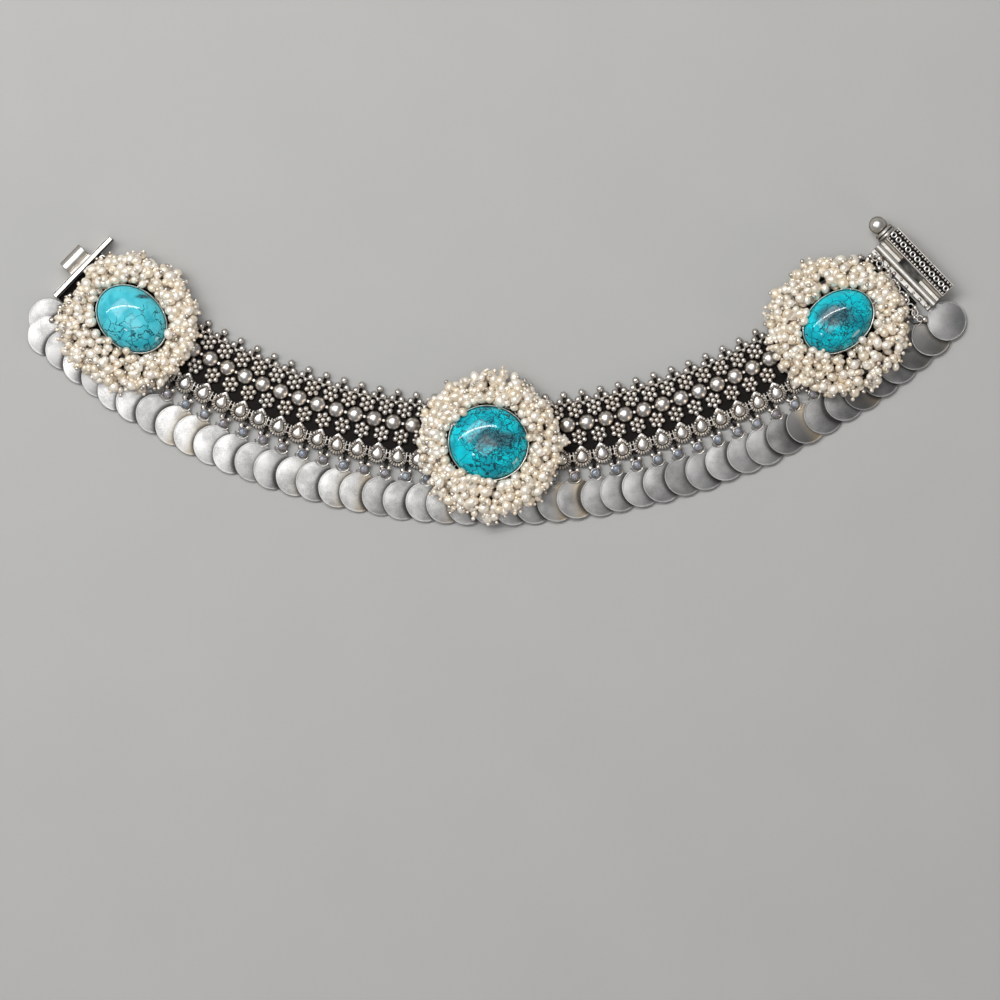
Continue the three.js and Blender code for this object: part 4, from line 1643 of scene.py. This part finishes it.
    def pearls(self, medallion: Medallion) -> tuple[Shell, Shell]:
        """The pearls, and the pins' ball heads and wire loops.

        A head sits on its pearl in the direction of the aim, outwards and up with
        a random lean. Some heads are tiny pearls, some silver, the rest hidden.

        Args:
            medallion: The medallion.

        Returns:
            The pearls with their tiny ones, and the silver heads with the loops.
        """
        spots, sizes = self.pearl_spots(medallion)
        rng = np.random.default_rng(medallion.seed + 1)
        count = len(spots)
        stretch = rng.uniform(0.86, 1.04, (count, 3)) * sizes[:, None]
        stretch[:, 0] *= rng.choice([1.0, 1.06, 1.26], count)
        turns = turn_about(2, rng.uniform(0, TURN, count))
        turns = turns @ (np.eye(3)[None] * stretch[:, None, :])
        seats = Seats(turns, spots, rng.random(count))
        # Painted shade: each pearl darker towards its bottom.
        body = ball(1.0, 12, 7).darkened_below(0.0, -0.9, 0.6)
        out = spots * np.array([1.0, 1.0, 0.0])
        out /= np.linalg.norm(out, axis=1, keepdims=True)
        aim = out + rng.normal(0, 0.65, (count, 3))
        aim[:, 2] = rng.uniform(0.1, 0.9, count)
        aim /= np.linalg.norm(aim, axis=1, keepdims=True)
        heads = spots + aim * (sizes[:, None] + 0.4)
        head_sizes = rng.uniform(0.45, 0.7, count)
        if medallion.wall_side:
            side, shift = medallion.wall_side, medallion.pearl_shift[0]
            limit = medallion.wall - 0.85 - shift * side
            heads[:, 0] = side * np.minimum(heads[:, 0] * side, limit)
        draw = rng.random(count)
        # Darker below: painted shade on the tiny pearls, tarnish on the silver heads.
        knob = ball(1.0, 10, 5).darkened_below(0.0, -0.8, 0.7)
        tiny, pins = [
            knob.spread(
                Seats.sized(head_sizes[some], heads[some], rng.random(some.sum()))
            )
            for some in (draw < 0.42, draw > 0.76)
        ]
        loops = rng.choice(count, count // 3, replace=False)
        tilts = turn_about(2, rng.uniform(0, TURN, len(loops)))
        tilts = tilts @ turn_about(0, rng.uniform(0.3, 1.5, len(loops)))
        places = spots[loops] - aim[loops] * 1.1 * sizes[loops, None]
        places[:, 2] = np.clip(places[:, 2] + 0.9, 4.6, 7.4)
        hoops = ring(0.62, 0.13, 14, 6).darkened(0.25)
        hoops = hoops.spread(Seats(tilts, places, rng.random(len(loops))))
        return merged([body.spread(seats), tiny]), merged([pins, hoops])

    def carrier(self, medallion: Medallion) -> Shell:
        """The dark wire rings under the pearls that the pins hang from."""
        inner, reach = medallion.half + 1.9, medallion.reach - 2.2
        hoop = ring(10.0, 0.5, 72, 8).moved(z=3.55)
        rings = [
            hoop.widened(inner * (1 - share) + reach * share)
            for share in self.carrier_shares
        ]
        return merged(rings).darkened(1.0)

    def build(self, band: Band, medallion: Medallion, finishes: Finishes) -> None:
        """Makes one medallion's pieces on its seat."""
        side, angle, offset = medallion.side, [medallion.angle], medallion.offset
        turn = turn_about(2, math.radians(medallion.stone_turn))
        stone_seat = band.seats(angle, offset, (*medallion.stone_shift, 0.0), turn)
        pearl_seat = band.seats(angle, offset, (*medallion.pearl_shift, 0.0))
        pearls, pins = self.pearls(medallion)
        bezel, stone = self.bezel(medallion), self.stone(medallion)
        gem = finishes.pale_turquoise if medallion.pale else finishes.turquoise
        plan = (
            ("bezel", bezel.seated(stone_seat), finishes.clasp, Slot.CLASP_SILVER),
            ("turquoise", stone.seated(stone_seat), gem, Slot.TURQUOISE),
            ("pearls", pearls.seated(pearl_seat), finishes.pearl, Slot.PEARL),
        )
        for kind, shell, finish, slot in plan:
            make(f"{kind}_{side}_fine", shell, finish, (f"{kind}_{side}",))
        metal = merged([pins, self.carrier(medallion)]).seated(pearl_seat)
        make(f"pearl_pins_{side}", metal, finishes.granule)


@dataclass(frozen=True)
class EndLinks:
    """Granules and small rings that tie the rows to the bars at both ends.

    Attributes:
        granule: Mean radius of a granule.
        step: From one to the next, across the band.
        stagger: How much further from the bar every other one lies.
        room: From the bar's middle to the nearer ones.
        ring_height: Height of the rings' middles.
    """

    granule: float = 0.88
    step: float = 2.15
    stagger: float = 2.1
    room: float = 1.2
    ring_height: float = 2.5

    def build(self, band: Band, finishes: Finishes) -> None:
        """Makes a zigzag of granules beside each bar, with rings between them."""
        rng = np.random.default_rng(71)
        knob = ball(1.0, 12, 7).darkened_below(0.3, -0.8, 0.95)
        hoop = ring(0.85, 0.24, 16, 6).darkened_below(0.2, -0.2, 0.7)
        up = np.arange(-13.5, 11.0, self.step)
        count = len(up)
        zigzag = np.arange(count) % 2 * self.stagger
        for medallion in band.medallions:
            if not medallion.wall_side:
                continue
            far = medallion.wall - self.room - zigzag + rng.uniform(-0.25, 0.25, count)
            rise = rng.uniform(2.3, 2.9, count)
            spots = np.stack([far * medallion.wall_side, up, rise], axis=1)
            sizes = self.granule * rng.uniform(0.85, 1.15, count)
            balls = knob.spread(Seats.sized(sizes, spots, rng.random(count)))
            places = (spots[:-1] + spots[1:]) / 2
            places[:, 2] = self.ring_height
            even = np.ones(count - 1)
            rings = hoop.spread(Seats.sized(even, places, rng.random(count - 1)))
            seat = band.seats([medallion.angle], medallion.offset)
            links = merged([balls, rings]).seated(seat)
            name = f"end_links_{medallion.side}"
            make(name, links, finishes.granule)


# Clasp


@dataclass(frozen=True)
class Clasp:
    """The two ends of the clasp and the pin that joins them.

    Attributes:
        length: Of the bars, the cover and the pair of tubes.
        bar_height: Height of the left bar.
        left_start: y of the left bar's upper end, from the row of domes.
        right_start: y of the right bar's upper end.
        tube_radius: Outer radius of the tubes.
        bore_radius: Radius of their bores.
        axis_height: Height of their axis.
        left_tube_length: Length of the tube on the left bar.
        left_reach: From the left bar to its tube's axis.
        right_reach: From the right bar to its tubes' axis.
        tongue_room: Half of the gap between the right tubes.
        rod_radius: Radius of the half-round bar's top.
        rod_shoulder: Height where its straight sides end.
        cover_width: Width of the cover plate.
        cover_shift: From the tubes' axis to the cover's middle.
        cover_base: Height of the cover's bottom.
        cover_top: Height of its rims.
        cover_rings: Rings along the cover.
        cover_dots: Dots along either side of them.
        shaft_radius: Radius of the pin.
        collar_radius: Radius of its collar.
        neck_radius: Radius between the collar and the ball.
        head_radius: Radius of the ball.
    """

    length: float = 23.1
    bar_height: float = 4.3
    left_start: float = 11.1
    right_start: float = 7.7
    tube_radius: float = 2.05
    bore_radius: float = 1.2
    axis_height: float = 3.15
    left_tube_length: float = 7.6
    left_reach: float = 3.05
    right_reach: float = 4.1
    tongue_room: float = 4.0
    rod_radius: float = 1.1
    rod_shoulder: float = 3.2
    cover_width: float = 4.5
    cover_shift: float = 1.2
    cover_base: float = 5.4
    cover_top: float = 6.0
    cover_rings: int = 12
    cover_dots: int = 22
    shaft_radius: float = 0.9
    collar_radius: float = 3.0
    neck_radius: float = 1.7
    head_radius: float = 2.5

    @property
    def right_end(self) -> float:
        """y of the right bar's lower end."""
        return self.right_start - self.length

    def tube(self, y: Pair, x: float) -> Shell:
        """A bored tube along Y, its rims slightly rounded."""
        wide, bore = self.tube_radius, self.bore_radius
        low, high = y
        loop = [(wide - 0.12, low), (wide, low + 0.12), (wide, high - 0.12)]
        loop += [(wide - 0.12, high), (bore, high), (bore, low)]
        shell = turned(loop, 40)
        inside = np.hypot(*shell.points[:, :2].T) < bore + 0.1
        shell = shell.darkened(np.where(inside, 1.0, 0.08))
        return shell.along_y().moved(x, 0.0, self.axis_height)

    def tongue_end(self) -> Shell:
        """The left bar, its darker outer layer, and the tube on it."""
        start, end = self.left_start, self.left_start - self.length
        middle, half = (start + end) / 2, self.left_tube_length / 2
        tube = (middle - half, middle + half)
        inner = block((-0.3, 0.85), (end, start), (0.0, self.bar_height))
        groove = block((-0.5, -0.25), (end + 0.2, start - 0.2), (0.1, 3.7))
        outer = block((-0.65, -0.42), (end + 0.3, start - 0.3), (0.0, 4.1), 0.08)
        web = block((-self.left_reach, -0.4), tube, (1.55, 2.75))
        saddle = block((-1.5, -0.5), tube, (2.0, 4.0), 0.1)
        return merged(
            [
                inner.darkened_below(0.9, 0.1, 0.6),
                groove.darkened(0.7),
                outer.darkened(0.1),
                web.darkened(0.5),
                saddle.darkened(0.35),
                self.tube(tube, -self.left_reach),
            ]
        )

    def round_bar(self, y: Pair) -> Shell:
        """The half-round bar: x = r cos a, z = shoulder + r sin a over a flat base."""
        radius, shoulder = self.rod_radius, self.rod_shoulder
        crown = oval(np.linspace(0.0, math.pi, 15), radius, radius) + [0.0, shoulder]
        section = np.concatenate([crown, [(-radius, 0.0), (radius, 0.0)]])
        return bar(section, y).darkened_below(3.6, 1.5, 0.75)

    def box_end(self) -> Shell:
        """The right strip and bar, with the two tubes and blobs of solder."""
        start, end, reach = self.right_start, self.right_end, self.right_reach
        middle = (start + end) / 2
        tubes = [(end, middle - self.tongue_room), (middle + self.tongue_room, start)]
        strip = block((-2.45, -1.0), (end, start), (0.0, 1.3), 0.1).darkened(0.12)
        flange = block((0.8, 3.1), (end + 0.2, start - 0.2), (0.15, 0.6)).darkened(0.6)
        parts = [self.round_bar((end, start)), strip, flange]
        for y in tubes:
            web = block((0.9, reach), y, (1.6, 2.7)).darkened(0.3)
            neck = block((reach - 1.3, reach + 1.3), y, (4.6, self.cover_base + 0.1))
            parts += [self.tube(y, reach), web, neck.darkened(0.6)]
        rng = np.random.default_rng(5)
        for place in np.linspace(end + 1.2, start - 1.2, 9):
            blob = ball(rng.uniform(0.45, 0.75), 12, 7).darkened_below(0.2, -0.3, 0.7)
            parts.append(blob.moved(rng.uniform(-2.1, -1.6), place, 1.25))
        return merged(parts)

    def cover(self) -> Shell:
        """The cover: a dark ground with a row of rings between rows of dots."""
        start, end, top = self.right_start, self.right_end, self.cover_top
        half = self.cover_width / 2
        plate = block((-half, half), (end, start), (self.cover_base, top - 0.1))
        plate = plate.darkened(np.where(plate.points[:, 2] > top - 0.2, 1.0, 0.5))
        side_rim = block((-0.13, 0.13), (end, start), (top - 0.3, top), 0.05)
        end_rim = block((-half, half), (-0.14, 0.14), (top - 0.3, top)).darkened(0.1)
        hoop = ring(0.66, 0.25, 20, 8).darkened_below(0.0, -0.15, 0.8)
        dot = ball(0.42, 8, 6).darkened_below(0.05, -0.25, 0.9)
        step = self.length / self.cover_rings
        rings = end + step * (np.arange(self.cover_rings) + 0.5)
        step = (self.length - 0.5) / self.cover_dots
        dots = end + 0.25 + step * (np.arange(self.cover_dots) + 0.5)
        side = half - 0.66
        cover = merged(
            [
                plate,
                side_rim.at([(0.13 - half, 0.0), (half - 0.13, 0.0)]),
                end_rim.at([(0.0, end + 0.14), (0.0, start - 0.14)]),
                hoop.at([(0.0, y, top - 0.02) for y in rings]),
                dot.at([(x, y, top - 0.02) for x in (-side, side) for y in dots]),
            ]
        )
        return cover.moved(self.right_reach + self.cover_shift)

    def pin(self) -> Shell:
        """The pin: shaft, a collar with a groove, and the ball head.

        The ball is r = R sin a and h = middle - R cos a, from the neck's radius on.
        """
        low, end = self.right_start + 0.3, self.right_end
        top = low + 2.05
        shaft, wide = self.shaft_radius, self.collar_radius
        neck, radius = self.neck_radius, self.head_radius
        rod = [(0, end + 0.8), (shaft - 0.15, end + 0.8), (shaft, end + 1.0)]
        collar = [(shaft, low), (wide - 0.3, low), (wide, low + 0.25)]
        collar += [(wide, low + 0.6), (wide - 0.4, low + 0.8), (wide - 0.4, low + 0.95)]
        collar += [(wide - 0.1, low + 1.1), (wide - 0.1, low + 1.5)]
        collar += [(wide - 0.4, low + 1.8), (neck + 0.05, low + 1.85), (neck, top)]
        start = math.asin(neck / radius)
        centre = top + radius * math.cos(start)
        swing = np.linspace(start, math.pi, 18)[1:]
        head = [0.0, centre] + oval(swing - math.pi / 2, radius, radius)
        head[-1, 0] = 0.0
        shell = turned(np.concatenate([rod, collar, head]), 48)
        away = np.hypot(*shell.points[:, :2].T)
        height = shell.points[:, 2] - low
        groove = (away < wide - 0.35) & (height > 0.7) & (height < 1.05)
        waist = (away < neck + 0.1) & (height > 1.8) & (height < 2.4)
        inside = np.where(height < 0, 0.4, 0.0)
        shell = shell.darkened(np.where(groove | waist, 0.8, inside))
        return shell.along_y().moved(self.right_reach, 0.0, self.axis_height)

    def build(self, band: Band, finishes: Finishes) -> None:
        """Makes both ends and the pin."""
        left = band.seats([-band.bar_angle], 0.0)
        right = band.seats([band.bar_angle], 0.0)
        silver, slot = finishes.clasp, Slot.CLASP_SILVER
        tongue, box_end = self.tongue_end().spread(left), self.box_end().spread(right)
        make("tongue_end", tongue, silver, ("clasp_tongue_end",))
        make("box_end", box_end, silver, ("clasp_box_end",))
        make("cover_plate", self.cover().spread(right), finishes.granule)
        pin = self.pin().spread(right)
        make("ball_pin", pin, silver, ("clasp_pin",), Body.PIN)


# The studio


@dataclass(frozen=True)
class Lamp:
    """A rectangular light in metres and watts.

    Attributes:
        name: Its name.
        place: Where its middle is.
        size: Its two sides.
        power: Its power.
        colour: Its colour.
        turn: Its turn round Z in radians if it faces straight down, or None if
            it faces the anklet.
    """

    name: str
    place: tuple[float, float, float]
    size: Pair
    power: float
    colour: tuple[float, float, float] = (1.0, 1.0, 1.0)
    turn: float | None = None

    def build(self, aim: tuple[float, float, float]) -> None:
        """Makes the light, facing the aim unless it faces straight down."""
        lamp = bpy.data.lights.new(self.name, "AREA")
        lamp.shape = "RECTANGLE"
        lamp.size, lamp.size_y = self.size
        lamp.energy = self.power
        lamp.color = self.colour
        piece = placed(self.name, lamp)
        piece.location = self.place
        x, y, z = np.array(self.place) - np.array(aim)
        tip, turn = math.atan2(math.hypot(x, y), z), math.atan2(y, x) + math.pi / 2
        if self.turn is not None:
            tip, turn = 0.0, self.turn
        piece.rotation_euler = (tip, 0.0, turn)


@dataclass(frozen=True)
class Studio:
    """A pale floor, soft lights and a camera that looks straight down.

    Attributes:
        view_width: Width of the floor that the camera sees, in metres.
        camera_height: Height of the camera, in metres.
        across: Millimetres from the arc's centre to the camera's middle, along x.
        down: The same along -y.
        sensor: Width of the camera's sensor, in millimetres.
        aim: The point that the lights face.
        sky: Colour of the light from all round.
        sky_power: Its strength.
        tube: Ends of the long light whose reflection is a streak on the stones.
        tube_width: Its width.
        tube_power: Its power.
        floor_colours: The two colours that the floor varies between.
    """

    view_width: float = 0.285
    camera_height: float = 1.6
    across: float = 2.86
    down: float = 186.1
    sensor: float = 36.0
    aim: tuple[float, float, float] = (0.0, -0.01, 0.0)
    sky: Colour = (0.84, 0.88, 0.95, 1.0)
    sky_power: float = 0.21
    tube: tuple = ((-1.8, 0.13, 1.0), (0.25, 0.54, 1.0))
    tube_width: float = 0.055
    tube_power: float = 9.5
    floor_colours: tuple = ((0.45, 0.445, 0.43, 1.0), (0.48, 0.475, 0.46, 1.0))

    def floor(self) -> None:
        """A plain pale floor that the anklet lies on."""
        shell = block((-900, 900), (-900, 900), (-12.0, 0.0), 1.0)
        material, wiring, shader = new_material("pale_floor")
        noise = wiring.noise(wiring.place(), 30.0, 3.0)
        colour = wiring.blend(noise, *self.floor_colours)
        wiring.feed(shader, {"Base Color": colour, "Roughness": 0.9})
        placed("floor", new_mesh("floor", shell, material))

    def lamps(self) -> tuple[Lamp, ...]:
        """The lights."""
        ends = np.array(self.tube)
        way = ends[1] - ends[0]
        return (
            Lamp(
                "tube",
                tuple(ends.mean(axis=0)),
                (float(np.linalg.norm(way)), self.tube_width),
                self.tube_power,
                turn=math.atan2(way[1], way[0]),
            ),
            Lamp("window", (-0.55, 0.55, 1.3), (1.2, 0.7), 9.5),
            Lamp("overhead", (-0.15, -0.18, 1.95), (0.65, 0.85), 4.2),
            Lamp("side", (1.3, -1.0, 0.5), (0.4, 0.4), 3.0, (1.0, 0.8, 0.6)),
            Lamp("glint", (-0.44, -0.40, 1.0), (0.07, 0.07), 0.35),
        )

    def camera(self, band: Band) -> None:
        """A camera over the anklet, which stands where the photo has it."""
        lens = bpy.data.cameras.new("camera")
        lens.sensor_width = self.sensor
        lens.lens = self.sensor * self.camera_height / self.view_width
        lens.clip_end = 20.0
        camera = placed("camera", lens)
        x, y = (band.centre + np.array([self.across, -self.down])) * MM
        camera.location = (x, y, self.camera_height)
        bpy.context.scene.camera = camera

    def build(self, band: Band) -> None:
        """Makes the floor, the lights, the sky and the camera."""
        self.floor()
        for lamp in self.lamps():
            lamp.build(self.aim)
        world = bpy.data.worlds.new("studio")
        world.use_nodes = True
        sky = world.node_tree.nodes["Background"]
        sky.inputs["Color"].default_value = self.sky
        sky.inputs["Strength"].default_value = self.sky_power
        bpy.context.scene.world = world
        bpy.context.scene.view_settings.view_transform = "Standard"
        self.camera(band)


def main() -> None:
    """Builds the studio and then each sub-assembly in order."""
    logging.basicConfig(level=logging.INFO)
    band = Band()
    Studio().build(band)
    finishes = Finishes.build()
    rows = (
        TrefoilRow(),
        FlowerRow("upper_flowers", "crest_row", -band.flower_offset),
        DomeRow(),
        FlowerRow("lower_flowers", "lower_flower_row", band.flower_offset),
        TeardropRow(),
        DiscFringe(),
    )
    for row in rows:
        row.build(band, finishes)
    for medallion in band.medallions:
        MedallionMaker().build(band, medallion, finishes)
    EndLinks().build(band, finishes)
    Clasp().build(band, finishes)


if __name__ == "__main__":
    main()
